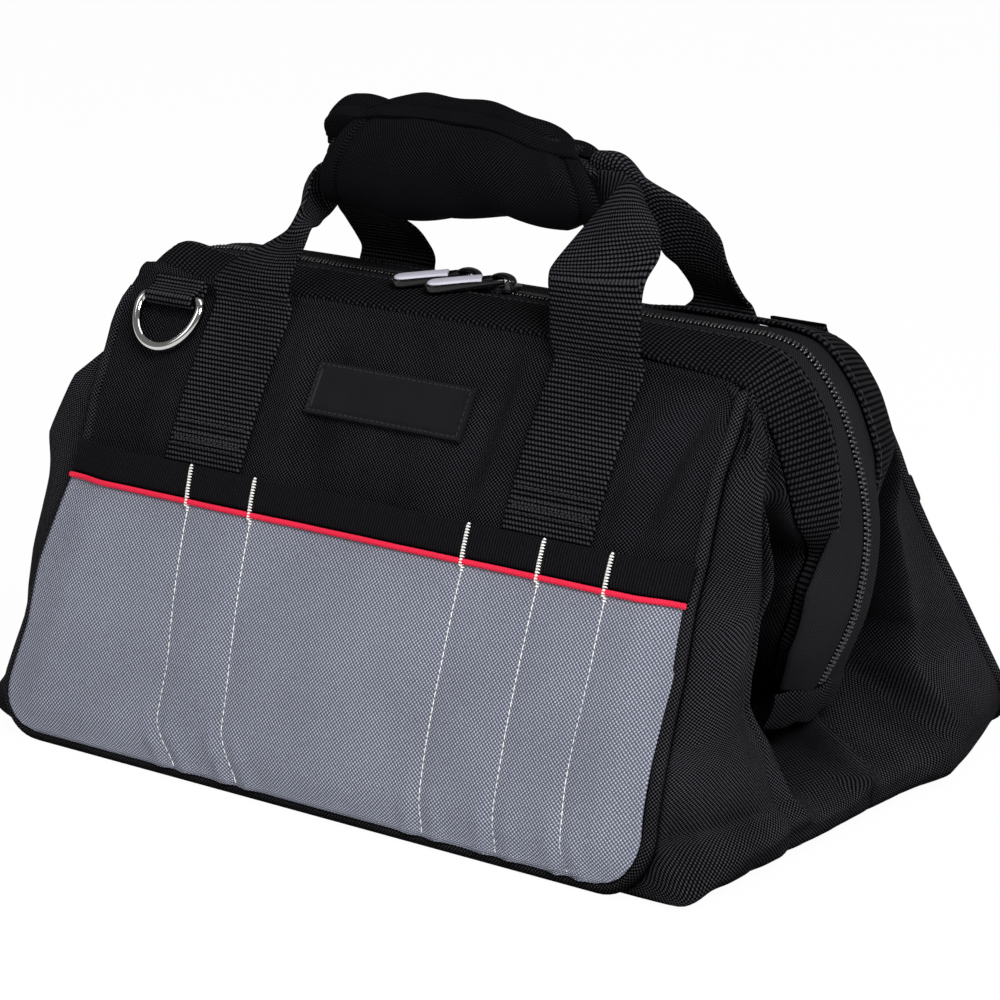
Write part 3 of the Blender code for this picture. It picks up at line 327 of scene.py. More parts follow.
def threads(name, stitches, radius, material, sides=6, arch=0.5):
    """Separate short stitches, each given by its two ends and the way out of the fabric."""
    points, faces, uvs = [], [], []
    capsule = [f[::-1] for f in closed_faces(len(STITCH_SHARES), sides)]
    for start, end, out in stitches:
        start, out = np.array(start), np.array(out)
        run = np.array(end) - start
        side = np.cross(run, out)
        side /= max(np.linalg.norm(side), 1e-12)
        first = len(points)
        for share, size in STITCH_SHARES:
            centre = start + run * share + out * radius * arch * (math.sin(math.pi * share) - SUNK_SHARE)
            for j in range(sides):
                angle = 2 * math.pi * j / sides
                spot = math.cos(angle) * side + math.sin(angle) * out
                points.append(centre + spot * radius * size)
                uvs.append((radius * angle, np.linalg.norm(run) * share))
        faces += [tuple(first + v for v in f) for f in capsule]
    return mesh_object(name, points, faces, uvs, material)


def catmull(points, steps):
    """Points of a smooth curve through the given rows."""
    points = np.asarray(points, float)
    padded = np.concatenate([points[:1], points, points[-1:]])
    line = []
    for p, q, r, s in zip(padded, padded[1:], padded[2:], padded[3:]):
        for t in np.arange(steps) / steps:
            bend = (2 * p - 5 * q + 4 * r - s) * t * t + (3 * q - p - 3 * r + s) * t**3
            line.append(0.5 * (2 * q + (r - p) * t + bend))
    line.append(points[-1])
    return np.array(line)


def evenly(path, count):
    """A count of points at even distances along a path."""
    run = run_lengths(path)
    places = np.linspace(0.0, run[-1], count)
    return np.stack([np.interp(places, run, column) for column in path.T], axis=1)


def resample(path, pitch):
    return evenly(path, max(2, int(round(run_lengths(path)[-1] / pitch)) + 1))


def stitch_row(path, out, pitch, gap):
    """Stitches along a path; out is one vector or one for each point of the path."""
    path = np.asarray(path, float)
    out = np.broadcast_to(out, path.shape)
    spots = resample(path, pitch)
    rows = []
    for a, b in zip(spots, spots[1:]):
        cut = unit(b - a) * gap / 2
        nearest = int(np.argmin(np.linalg.norm(path - (a + b) / 2, axis=1)))
        rows.append((a + cut, b - cut, out[nearest]))
    return rows


def rough(x, y, seed, scale):
    """A smooth irregular value from -1 to 1, the same each run."""
    waves = 5
    total = 0.0
    rng = np.random.default_rng(seed)
    for _ in range(waves):
        ax, ay, phase = rng.normal(0, 1), rng.normal(0, 1), rng.uniform(0, 2 * math.pi)
        total = total + np.sin((ax * x + ay * y) / scale + phase)
    return total / waves


# Materials


class Nodes:
    """The shader nodes of a material or of the world."""

    def __init__(self, owner):
        owner.use_nodes = True
        self.tree = owner.node_tree

    def add(self, kind, **settings):
        node = self.tree.nodes.new(kind)
        for key, value in settings.items():
            setattr(node, key, value)
        return node

    def feed(self, socket, value):
        if isinstance(value, bpy.types.NodeSocket):
            self.tree.links.new(value, socket)
        elif socket.type == "RGBA":
            socket.default_value = (*value, 1.0)
        else:
            socket.default_value = value

    def math(self, operation, a, b=0.0, clamp=False):
        node = self.add("ShaderNodeMath", operation=operation, use_clamp=clamp)
        self.feed(node.inputs[0], a)
        self.feed(node.inputs[1], b)
        return node.outputs[0]

    def times(self, a, b, clamp=False):
        return self.math("MULTIPLY", a, b, clamp)

    def plus(self, a, b):
        return self.math("ADD", a, b)

    def sine(self, value, wave):
        """A sine of a value in metres whose half wave is given in metres."""
        return self.math("SINE", self.times(value, math.pi / wave))

    def range(self, value, low, high, to_low=0.0, to_high=1.0):
        node = self.add("ShaderNodeMapRange", clamp=True)
        for socket, v in zip(node.inputs, (value, low, high, to_low, to_high)):
            self.feed(socket, v)
        return node.outputs[0]


class Shader(Nodes):
    """A material with a principled surface."""

    def __init__(self, name):
        self.material = bpy.data.materials.new(name)
        super().__init__(self.material)
        self.bsdf = self.tree.nodes["Principled BSDF"]
        self.place = self.add("ShaderNodeTexCoord").outputs["Object"]

    def mix(self, share, a, b):
        node = self.add("ShaderNodeMix", data_type="RGBA")
        self.feed(node.inputs[0], share)
        self.feed(node.inputs[6], a)
        self.feed(node.inputs[7], b)
        return node.outputs[2]

    def noise(self, scale, detail):
        node = self.add("ShaderNodeTexNoise")
        self.feed(node.inputs["Scale"], scale)
        self.feed(node.inputs["Detail"], detail)
        self.feed(node.inputs["Vector"], self.place)
        return node.outputs["Fac"]

    def uv(self):
        node = self.add("ShaderNodeUVMap", uv_map="UVMap")
        parts = self.add("ShaderNodeSeparateXYZ")
        self.feed(parts.inputs[0], node.outputs[0])
        return parts.outputs[0], parts.outputs[1]

    def drift(self, scale, reach):
        """How far a thread wanders off its straight line."""
        return self.times(self.math("SUBTRACT", self.noise(scale, detail=2.0), 0.5), reach)

    def bump(self, height, strength, distance):
        node = self.add("ShaderNodeBump")
        self.feed(node.inputs["Strength"], strength)
        self.feed(node.inputs["Distance"], distance)
        self.feed(node.inputs["Height"], height)
        self.feed(self.bsdf.inputs["Normal"], node.outputs[0])

    def surface(self, colour, roughness, metallic=0.0, specular=0.5, sheen=0.0):
        self.feed(self.bsdf.inputs["Base Color"], colour)
        self.feed(self.bsdf.inputs["Roughness"], roughness)
        self.feed(self.bsdf.inputs["Metallic"], metallic)
        self.feed(self.bsdf.inputs["Specular IOR Level"], specular)
        self.feed(self.bsdf.inputs["Sheen Weight"], sheen)
        return self.material


FABRIC_SPECULAR = 0.015


def woven(name, dark, bright, pitch, specular=FABRIC_SPECULAR, bump=0.6, contrast=2.0, blotch=0.15,
          sparse=0.0, hollow=0.0):
    """Plain weave: bright crossings in a chequer and darker ones between, painted as the light on the
    threads' crowns and the shade between them (painted highlight and shade). Sparse leaves fewer bright ones,
    blotch makes broad clouds and hollow is how far away folds darken the cloth's colour through ambient
    occlusion (painted shade)."""
    s = Shader(name)
    u, v = s.uv()
    drift = s.drift(scale=700.0, reach=0.00022)
    across = s.sine(s.plus(u, drift), pitch)
    along = s.sine(s.plus(v, drift), pitch)
    cross = s.times(across, along)
    lump = s.math("POWER", s.math("ABSOLUTE", cross), 0.6)
    over = s.range(cross, sparse - 1.0 / contrast, sparse + 1.0 / contrast)
    fibre = s.noise(scale=3800.0, detail=1.0)
    cloud = s.noise(scale=26.0, detail=3.0)
    # painted highlight and shade: the colour is brightest on the crowns of the crossings on top and darkest
    # between the threads, following the same relief that drives the bump
    light = s.times(over, s.plus(s.times(lump, 0.75), 0.25))
    light = s.times(light, s.range(fibre, 0.3, 0.7, 0.6, 1.3))
    light = s.times(light, s.range(cloud, 0.35, 0.65, 1.0 - blotch, 1.0 + blotch), clamp=True)
    # painted shade: ambient occlusion darkens the colour in folds, hollows and creases, and lightens it a
    # little in the open
    if hollow:
        shade = s.add("ShaderNodeAmbientOcclusion", samples=6)
        s.feed(shade.inputs["Distance"], hollow)
        light = s.times(light, s.range(shade.outputs["AO"], 0.30, 0.90, 0.12, 1.15))
    s.bump(s.times(lump, s.plus(s.times(over, 0.5), 0.5)), bump, distance=0.0003)
    return s.surface(s.mix(light, dark, bright), s.range(fibre, 0.2, 0.8, 0.72, 0.95), specular=specular)


def strap_weave(name, dark, bright, dash, row):
    """Webbing: short bright dashes in rows across the strap, each row set off by half a dash. The dashes
    paint the light on the raised threads, and the gaps between them paint shade (painted highlight and
    shade).
    """
    s = Shader(name)
    u, v = s.uv()
    drift = s.drift(scale=420.0, reach=0.0003)
    line = s.math("DIVIDE", s.plus(v, drift), row)
    up = s.math("FRACT", line)
    odd = s.times(s.math("FLOORED_MODULO", s.math("FLOOR", line), 2.0), 0.5)
    lean = s.times(up, 0.35)
    along = s.math("FRACT", s.plus(s.plus(s.math("DIVIDE", s.plus(u, drift), dash), odd), lean))
    hump = s.sine(along, 1.0)
    lump = s.times(s.plus(s.times(hump, 0.65), 0.35), s.sine(up, 1.0))
    fibre = s.noise(scale=2600.0, detail=1.0)
    cloud = s.noise(scale=40.0, detail=2.0)
    # painted highlight and shade: the colour follows the same relief as the bump, lighter on the raised
    # dashes and darker between them
    light = s.times(s.range(lump, 0.38, 0.90), s.range(fibre, 0.3, 0.7, 0.55, 1.35))
    light = s.times(light, s.range(cloud, 0.3, 0.7, 0.8, 1.2), clamp=True)
    s.bump(lump, 0.9, distance=0.0004)
    return s.surface(s.mix(light, dark, bright), 0.8, specular=FABRIC_SPECULAR)


def grosgrain(name, dark, bright, pitch):
    """Ribbed tape: ribs across the tape with fine threads along them. The colour is lighter on the ribs'
    crowns and darker between them (painted highlight and shade).
    """
    s = Shader(name)
    u, v = s.uv()
    ribs = s.math("ABSOLUTE", s.sine(s.plus(u, s.drift(scale=500.0, reach=0.0003)), pitch))
    fine = s.math("ABSOLUTE", s.sine(v, pitch * 0.55))
    # painted highlight and shade: the colour follows the ribs' relief, the same that drives the bump
    light = s.times(ribs, s.plus(s.times(fine, 0.5), 0.5))
    light = s.times(light, s.range(s.noise(scale=3000.0, detail=1.0), 0.3, 0.7, 0.5, 1.2))
    s.bump(s.plus(ribs, s.times(fine, 0.3)), 0.6, distance=0.0004)
    return s.surface(s.mix(light, dark, bright), 0.85, specular=FABRIC_SPECULAR)


def thread_material(name, colour, twist_dark):
    s = Shader(name)
    u, v = s.uv()
    twist = s.sine(s.plus(v, u), 0.0005)
    s.bump(twist, 0.4, distance=0.0001)
    # painted shade: the thread's colour darkens towards twist_dark in the grooves of its twist, where its
    # bump is low
    return s.surface(s.mix(s.range(twist, -1.0, 0.2), twist_dark, colour), 0.6, specular=0.3, sheen=0.1)


def plastic(name, colour, roughness, specular=0.5, grain=0.06, bump=0.1, metallic=0.0, wear=None):
    """A smooth surface with a fine grain; wear is the colour of its rubbed edges."""
    s = Shader(name)
    fine = s.noise(scale=900.0, detail=3.0)
    broad = s.noise(scale=60.0, detail=2.0)
    shade = s.add("ShaderNodeVectorMath", operation="SCALE")
    s.feed(shade.inputs[0], colour)
    s.feed(shade.inputs["Scale"], s.range(broad, 0.3, 0.7, 1.0 - grain, 1.0 + grain))
    tone = shade.outputs[0]
    if wear is not None:
        edge = s.add("ShaderNodeNewGeometry").outputs["Pointiness"]
        worn = s.times(s.range(edge, 0.53, 0.60), s.range(fine, 0.45, 0.6))
        tone = s.mix(worn, tone, wear)
    s.bump(fine, bump, distance=0.0001)
    spread = s.range(fine, 0.2, 0.8, max(0.02, roughness - 0.05), roughness + 0.05)
    return s.surface(tone, spread, metallic=metallic, specular=specular)


BLACK_YARN = (0.0006, 0.0006, 0.0008)
BLACK_WEAVE = {"contrast": 2.2, "blotch": 0.25, "sparse": 0.20}
# The black cloths keep a low specular. The sheen of their threads is painted into their bright crossings
# (painted highlight).
BLACK_CLOTH = woven("black_cloth", BLACK_YARN, (0.042, 0.040, 0.048), 0.00074, specular=0.008, **BLACK_WEAVE)
# The cloth of the gussets, piping and base is the walls' black weave painted lighter to stand for the
# stronger light on the ends (painted light). Ambient occlusion darkens it in its folds (painted shade).
PAINTED_LIGHTER_SHELL_CLOTH = woven("shell_cloth_painted_lighter", BLACK_YARN, (0.058, 0.056, 0.065), 0.00074, specular=0.008, hollow=0.05,
                    **BLACK_WEAVE)
GREY_CLOTH = woven("grey_cloth", (0.070, 0.075, 0.100), (0.48, 0.505, 0.60), 0.00082, specular=0.10,
                   blotch=0.10, contrast=2.2)
WEBBING = strap_weave("webbing", (0.0009, 0.0009, 0.0011), (0.045, 0.044, 0.051), 0.0016, 0.0018)
BAND_WEBBING = strap_weave("band_webbing", (0.0008, 0.0008, 0.0009), (0.022, 0.0215, 0.025), 0.0015, 0.0021)
PADDED_CLOTH = woven("padded_cloth", (0.0008, 0.0008, 0.0010), (0.018, 0.017, 0.021), 0.00072,
                     specular=0.006, **BLACK_WEAVE)
BINDING_TAPE = grosgrain("binding_tape", (0.0010, 0.0010, 0.0012), (0.014, 0.0135, 0.016), 0.00125)
EDGE_TAPE = woven("edge_tape", (0.0009, 0.0009, 0.0011), (0.030, 0.029, 0.034), 0.0009, bump=0.7)
RED_CORD = woven("red_cord_cloth", (0.62, 0.010, 0.040), (1.0, 0.040, 0.095), 0.0006, specular=0.15,
                 bump=0.25)
WHITE_THREAD = thread_material("white_thread", (0.93, 0.92, 0.89), (0.66, 0.65, 0.64))
BLACK_THREAD = thread_material("black_thread", (0.010, 0.010, 0.012), (0.002, 0.002, 0.003))
COIL = plastic("coil_nylon", (0.006, 0.006, 0.007), 0.22, specular=0.6)
TAPE_CLOTH = woven("tape_cloth", (0.005, 0.005, 0.006), (0.026, 0.0255, 0.029), 0.0006, bump=0.3)
ENAMEL = plastic("black_enamel", (0.003, 0.003, 0.004), 0.05, specular=0.35, bump=0.02,
                 wear=(0.06, 0.06, 0.065))
INLAY = plastic("grey_inlay", (0.56, 0.54, 0.63), 0.45, specular=0.3, grain=0.04, bump=0.08)
NICKEL = plastic("nickel_wire", (0.62, 0.62, 0.61), 0.08, metallic=1.0, bump=0.02, grain=0.05)
PATCH_RUBBER = plastic("patch_rubber", (0.0058, 0.0056, 0.0070), 0.55, specular=0.12, bump=0.3, grain=0.2)
BOARD = plastic("stiffener_board", (0.12, 0.12, 0.12), 0.7, bump=0.3, grain=0.2)

BEND_LOW = 0.045
BEND_HIGH = 0.096


def side_bend(wall):
    """The same tuple for every fabric layer of a side: the base, the side and a band of heights."""
    return ("base", SIDE[wall], (0.0, 0.0, BEND_LOW), (0.0, 0.0, BEND_HIGH))


def keep(obj, body, slot, *nodes):
    """Hides the CAD nodes that a piece stands for and rides the piece on a body; given a tuple instead of a
    body, it only bakes the piece's placement into its mesh. The slot is not used.
    """
    if nodes:
        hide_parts(*nodes)
    if isinstance(body, tuple):
        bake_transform(obj)
    else:
        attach(obj, body)


# Walls

# Upright folds above the pockets, as (x, width, height, lean)
WALL_FOLDS = (
    (-0.126, 0.006, -0.0012, 0.0), (-0.052, 0.0065, 0.0016, -0.10), (-0.036, 0.005, -0.0014, -0.12),
    (0.018, 0.007, 0.0012, 0.05), (0.040, 0.006, -0.0020, 0.10), (0.051, 0.005, 0.0020, 0.02),
    (0.114, 0.005, 0.0020, 0.10), (0.126, 0.005, -0.0030, 0.30), (0.138, 0.006, 0.0018, 0.16),
)
FOLD_CENTRE_Z = 0.13
WALL_INSETS = (0.0030, 0.0030)
POCKET_INSETS = (0.0042, 0.0016)
ROLL_STEPS = 6
ROLL_TURN = math.radians(80)
ROLL_DEPTH = 0.0050
ROLL_RISE = {FRONT: 0.0044, REAR: 0.0034}
WALL_TOP = {FRONT: PANEL_HEIGHT + 0.0006, REAR: PANEL_HEIGHT - 0.0012}
# Where the top corners begin to round off, and how far the right one drops
CORNER_START = TOP_LENGTH / 2 - 0.0145
RIGHT_DROP = {FRONT: 0.0050, REAR: 0.0090}
LEFT_DROP = {FRONT: 0.0012, REAR: 0.0050}


def wall_relief(x, z, wall):
    """How far the shell stands off the CAD's plane, in soft upright folds."""
    x = x * -wall
    total = 0.0
    for place, width, height, lean in WALL_FOLDS:
        total = total + height * bump(x, place + lean * (z - FOLD_CENTRE_Z), width)
    total = total * ramp(z, 0.095, 0.03) + 0.0007 * rough(x, z, 3 + wall, 0.011)
    return total * smooth(z / 0.05) * smooth((PANEL_HEIGHT + 0.004 - z) / 0.02)


def wall_grid(heights, columns, insets, off, wall):
    """Rows across a wall, inside its outline by one inset at the base and another further up."""
    rows = []
    for z in heights:
        inset = insets[0] + (insets[1] - insets[0]) * float(ramp(z, 0.03, 0.06))
        x = float(outline_limit(z, inset)) * np.linspace(-1.0, 1.0, columns)
        rows.append(on_wall(x, z, wall, off(x, z, wall)))
    return np.array(rows)


def corner_heights(low, high, count):
    """Heights that lie close together round the bottom corners."""
    turns = np.linspace(math.acos(1 - low / CORNER_RADIUS), math.pi / 2, 9)
    corner = CORNER_RADIUS * (1.0 - np.cos(turns[:-1]))
    return np.concatenate([corner, np.linspace(CORNER_RADIUS, high, count)])


def make_wall(wall):
    name = WALL_NAMES[wall]
    grid = wall_grid(corner_heights(0.0022, WALL_TOP[wall], 60), 150, WALL_INSETS, wall_relief, wall)
    # the top edge rolls in under the zipper's webbing
    roll = []
    for i in range(1, ROLL_STEPS + 1):
        turn = i / ROLL_STEPS * ROLL_TURN
        inward = wall * ROLL_DEPTH * (1 - math.cos(turn))
        roll.append(grid[-1] + (0.0, -inward, ROLL_RISE[wall] * math.sin(turn)))
    grid = np.concatenate([grid, roll])
    # the corners at the top are rounded off
    x = grid[..., 0].copy()
    over = np.clip((np.abs(x) - CORNER_START) / 0.010, 0.0, 1.0) ** 2 * ramp(grid[..., 2], 0.150, 0.014)
    grid[..., 2] -= np.where(x > 0, RIGHT_DROP[wall], LEFT_DROP[wall]) * over
    grid[..., 1] -= wall * 0.0012 * over
    if wall == FRONT:
        # the top sags towards both ends and stands up again at the left corner
        sag = ramp(x, 0.030, 0.12) + 0.35 * ramp(-x, 0.030, 0.12)
        grid[..., 2] -= 0.0040 * sag * ramp(grid[..., 2], 0.140, 0.020)
        grid[..., 2] += 0.0036 * ramp(-x, 0.118, 0.020) * ramp(grid[..., 2], 0.140, 0.020)
    obj = cloth(name + "_wall_cloth", settle(grid, wall), BLACK_CLOTH, 0.0016, flip=wall == REAR)
    keep(obj, side_bend(wall), "black_fabric", name + "_panel")


# Pockets

# Rows of stitches on the front pocket, as (height, x) in millimetres; the rear one mirrors them
STITCH_PATHS = (
    ((5, -69), (20, -78.5), (41, -77.5), (60, -80), (94, -84.5), (108, -88)),
    ((5, -37), (22, -45.5), (34, -45.5), (60, -48), (94, -52), (108, -55)),
    ((5, 54.5), (20, 53), (34, 52.8), (60, 53), (94, 52), (108, 50)),
    ((5, 89), (20, 87.2), (34, 87.5), (60, 87.5), (94, 86.8), (108, 85)),
    ((5, 123.5), (12, 120), (34, 118.5), (60, 119), (94, 117.8), (108, 116)),
)
POCKET_PUFFS = (0.0016, 0.0012, 0.0020, 0.0012, 0.0012, 0.0012)
POCKET_EDGE = 0.0047
SEAM_START = 0.0925
SEAM_END = 0.0048
TACK_COUNT = 34
TACK_LEAN = 0.00035
# How much of the pocket's relief shows in what is sewn over its edge
CORD_RELIEF = 0.6
BINDING_RELIEF = 0.4


def stitch_x(index, z):
    return from_table(z, *zip(*STITCH_PATHS[index]))


def pocket_lift(x, z):
    side = smooth((half_length(z) - POCKET_EDGE - np.abs(x)) / 0.020)
    return 0.0003 + 0.0022 * side * ramp(z, POCKET_EDGE, 0.012)


def pocket_relief(x, z, wall):
    """The soft fields between the rows of stitches, each pulled in at its own rows."""
    x = x * -wall
    edge = half_length(z) - POCKET_EDGE
    lines = [-edge, *(stitch_x(i, z) for i in range(len(STITCH_PATHS))), edge]
    up = np.sin(math.pi * np.clip(z / POCKET_HEIGHT, 0.0, 1.0)) ** 0.7
    total = 0.00045 * rough(x, z * 0.5, 11, 0.009) * smooth(z / 0.02)
    for puff, left, right in zip(POCKET_PUFFS, lines, lines[1:]):
        share = np.clip((x - left) / (right - left), 0.0, 1.0)
        total += puff * np.sin(math.pi * share) ** 0.55 * up
    for line in lines[1:-1]:
        total += 0.0012 * smooth((0.035 - z) / 0.03) * bump(np.abs(x - line), 0.006, 0.004)
    return total


def pocket_face(x, z, wall):
    return pocket_lift(x, z) + pocket_relief(x, z, wall) + 0.0010


def binding_face(x, z, wall):
    return pocket_lift(x, z) + BINDING_RELIEF * pocket_relief(x, z, wall) + 0.0012


def make_pocket(wall):
    name = WALL_NAMES[wall]
    heights = corner_heights(0.0040, POCKET_HEIGHT + 0.0012, 46)
    grid = settle(wall_grid(heights, 230, POCKET_INSETS, pocket_face, wall), wall)
    obj = cloth(name + "_pocket_cloth", grid, GREY_CLOTH, 0.0008, flip=wall == REAR)
    keep(obj, side_bend(wall), "grey_fabric", name + "_pocket")

    z = POCKET_CORD_Z
    limit = half_length(z) - POCKET_INSETS[1] - (0.0 if wall == FRONT else 0.0045)
    x = np.linspace(-limit, limit, 120)
    stand = pocket_lift(x, z) + CORD_RELIEF * pocket_relief(x, z, wall) + 0.0017
    path = settle(on_wall(x, z, wall, stand), wall)
    obj = tube(name + "_pocket_cord_cloth", path, 0.00105, RED_CORD, sides=10)
    keep(obj, side_bend(wall), "red_cord", name + "_pocket_cord")

    lines = []
    for z in np.linspace(BINDING_FOOT, BINDING_TOP, 7):
        limit = half_length(z) - POCKET_INSETS[1] + 0.0004
        x = np.linspace(-limit, limit, 160)
        lines.append(on_wall(x, z, wall, binding_face(x, z, wall)))
    obj = slab(name + "_binding_cloth", settle(np.stack(lines, axis=1), wall), BINDING_TAPE, 0.0022)
    # ribs run across the tape
    layer = obj.data.uv_layers[0]
    uvs = np.zeros(len(obj.data.loops) * 2, np.float32)
    layer.data.foreach_get("uv", uvs)
    layer.data.foreach_set("uv", uvs.reshape(-1, 2)[:, ::-1].ravel())
    keep(obj, side_bend(wall), "webbing", name + "_pocket_binding")


def make_pocket_seams(wall):
    """Rows of stitches down the pocket, each with a bar tack over the cord and the binding."""
    name = WALL_NAMES[wall]
    seams, tacks = [], []
    _, seam_out = wall_frame(0.05, wall)
    _, tack_out = wall_frame(0.10, wall)
    for i in range(len(STITCH_PATHS)):
        z = np.linspace(SEAM_START, SEAM_END, 60)
        x = -wall * stitch_x(i, z)
        path = settle(on_wall(x, z, wall, pocket_face(x, z, wall) + 0.00012), wall)
        seams += stitch_row(path, seam_out, pitch=0.0028, gap=0.0004)
        z = np.linspace(BINDING_TOP + 0.0004, SEAM_START, TACK_COUNT)
        down = np.linspace(0.0, 1.0, TACK_COUNT)
        x = -wall * (stitch_x(i, z) + 0.0008 * (1 - down) ** 2)
        stand = binding_face(x, z, wall) + np.where(z > POCKET_CORD_Z + 0.0008, 0.0011, 0.0013)
        stand = np.where(z < POCKET_CORD_Z - 0.0012, pocket_face(x, z, wall) + 0.0002, stand)
        half = np.where(down < 0.7, 0.00105, 0.00075) * np.minimum(1.0, 0.45 + down * 9)
        for k, spot in enumerate(settle(on_wall(x, z, wall, stand), wall)):
            lean = TACK_LEAN if k % 2 else -TACK_LEAN
            tacks.append((spot - (half[k], 0.0, 0.0), spot + (half[k], 0.0, lean), tack_out))
    obj = threads(name + "_pocket_seams", seams, 0.00021, WHITE_THREAD)
    keep(obj, side_bend(wall), "grey_fabric")
    obj = threads(name + "_bar_tacks", tacks, 0.00030, WHITE_THREAD, arch=1.2)
    keep(obj, side_bend(wall), "grey_fabric")


# Piping

PIPING_TOP = 0.1585
PIPING_LEAN = 0.0022


def side_outline(inset, top, arc_steps, up_steps):
    """(x, z) from the start of the right bottom corner up to a height, inside the outline by an inset."""
    radius = CORNER_RADIUS - inset
    turn = np.linspace(0.0, math.pi / 2, arc_steps + 1)
    arc = np.stack([FLAT_HALF_LENGTH + radius * np.sin(turn), CORNER_RADIUS - radius * np.cos(turn)], axis=1)
    z = np.linspace(CORNER_RADIUS, top, up_steps + 1)[1:]
    return np.concatenate([arc, np.stack([half_length(z) - inset, z], axis=1)])


def top_lean(z):
    """1 near the top, where the seam leans in, and 0 below."""
    return ramp(z, 0.146, 0.014)


def make_piping(wall):
    name = WALL_NAMES[wall]
    flat = [(x, PIPING_RADIUS) for x in np.linspace(0.0, FLAT_HALF_LENGTH, 30)[:-1]]
    half = np.concatenate([flat, side_outline(PIPING_RADIUS, PIPING_TOP, 13, 33)])
    x, z = np.concatenate([half[::-1] * (-1, 1), half[1:]]).T
    y = wall * (wall_y(z, wall) - PIPING_RADIUS - 0.0010 * top_lean(z))
    path = settle(np.stack([x - np.copysign(PIPING_LEAN, x) * top_lean(z), y, z], axis=1), wall)
    obj = tube(name + "_piping_cloth", path, PIPING_RADIUS + 0.0004, PAINTED_LIGHTER_SHELL_CLOTH, sides=14)
    keep(obj, side_bend(wall), "black_fabric", name + "_seam_piping")


# Zipper line and what runs along it

END_STEPS = 14
TOP_STEPS = 60
# The right end's curve, from the straight top down to the foot, as (x, z)
ZIPPER_END = (
    (ZIPPER_STRAIGHT, ZIPPER_TOP),
    (ZIPPER_REACH - 0.023, ZIPPER_TOP - 0.0045),
    (ZIPPER_REACH - 0.008, ZIPPER_TOP - 0.0245),
    (ZIPPER_REACH, ZIPPER_TOP - 0.059),
    (ZIPPER_REACH - 0.006, ZIPPER_END_HEIGHT + 0.031),
    (ZIPPER_REACH - 0.0225, ZIPPER_END_HEIGHT + 0.001),
)


def zipper_line():
    """(x, z) from the right foot over the top to the left foot, and the way out at each point."""
    end = catmull(ZIPPER_END, END_STEPS)
    x = np.linspace(ZIPPER_STRAIGHT, -ZIPPER_STRAIGHT, TOP_STEPS + 1)[1:-1]
    top = np.stack([x, np.full_like(x, ZIPPER_TOP)], axis=1)
    points = np.concatenate([end[::-1], top, end * (-1, 1)])
    along = np.gradient(points, axis=0)
    along /= np.linalg.norm(along, axis=1, keepdims=True)
    return points, np.stack([along[:, 1], -along[:, 0]], axis=1)


ZIP_POINTS, ZIP_NORMALS = zipper_line()
ZIP_COUNT = len(ZIP_POINTS)
ZIP_FOOT, FOOT_OUT = ZIP_POINTS[0], ZIP_NORMALS[0]
FOOT_DOWN = np.array([FOOT_OUT[1], -FOOT_OUT[0]])
# Where the tape's outer edge runs, as (height, distance from the teeth) in millimetres
TAPE_EDGES = {
    FRONT: ((46, 17.0), (64, 24.5), (88.5, 25.5), (99, 20.5), (112.5, 15.0), (123, 11.5), (145, 7.8),
            (170, 8.2)),
    REAR: ((46, 15.0), (63, 11.3), (85, 9.8), (140, 8.5), (170, 8.5)),
}
TAPE_START = 0.0016
# Over which heights the band folds away behind the tape, as (start, width)
BAND_FEET = {FRONT: (0.096, 0.024), REAR: (0.104, 0.030)}
TOOTH_PITCH = 0.0018


def beside_zipper(lateral, height, wall):
    """Points along the zipper, to the side of its teeth and out from them."""
    x, z = (ZIP_POINTS + ZIP_NORMALS * np.reshape(height, (-1, 1))).T
    return np.stack(np.broadcast_arrays(x, wall * lateral, z), axis=1)


def tape_edge(wall):
    return from_table(ZIP_POINTS[:, 1], *zip(*TAPE_EDGES[wall]))


def band_foot(wall):
    """1 where the band has folded away behind the tape, at the feet of both ends, else 0."""
    return 1.0 - ramp(ZIP_POINTS[:, 1], *BAND_FEET[wall])


def band_column(t, wall, stand=0.0):
    """Points along the band at a share of its width; it folds in and down at its feet."""
    front = wall == FRONT
    x, z = ZIP_POINTS.T
    foot = band_foot(wall)
    flat = ramp(z, 0.150, 0.02) * (1.0 - ramp(np.abs(x - 0.015), 0.055, 0.075))
    drop = BAND_DROP - (0.0034 if front else 0.0012) * flat
    inner = tape_edge(wall) + 0.0002 - (0.0060 if front else 0.0030) * foot
    width = (BAND_OUTER + 0.0009 - inner) * (1.0 - foot) + 0.0020 * foot
    fall = drop * t * (1.0 - foot) + foot * (0.0050 + 0.0070 * t)
    if front:
        rest = 0.0008 + 0.0052 * bump(x, -0.1490, 0.0150)
    else:
        rest = -0.0002 + 0.0022 * ramp(x, 0.060, 0.03) - 0.0016 * ramp(-x, 0.110, 0.02)
    height = rest - fall + 0.0010 * math.sin(math.pi * t) + stand
    return beside_zipper(inner + width * t, height, wall)


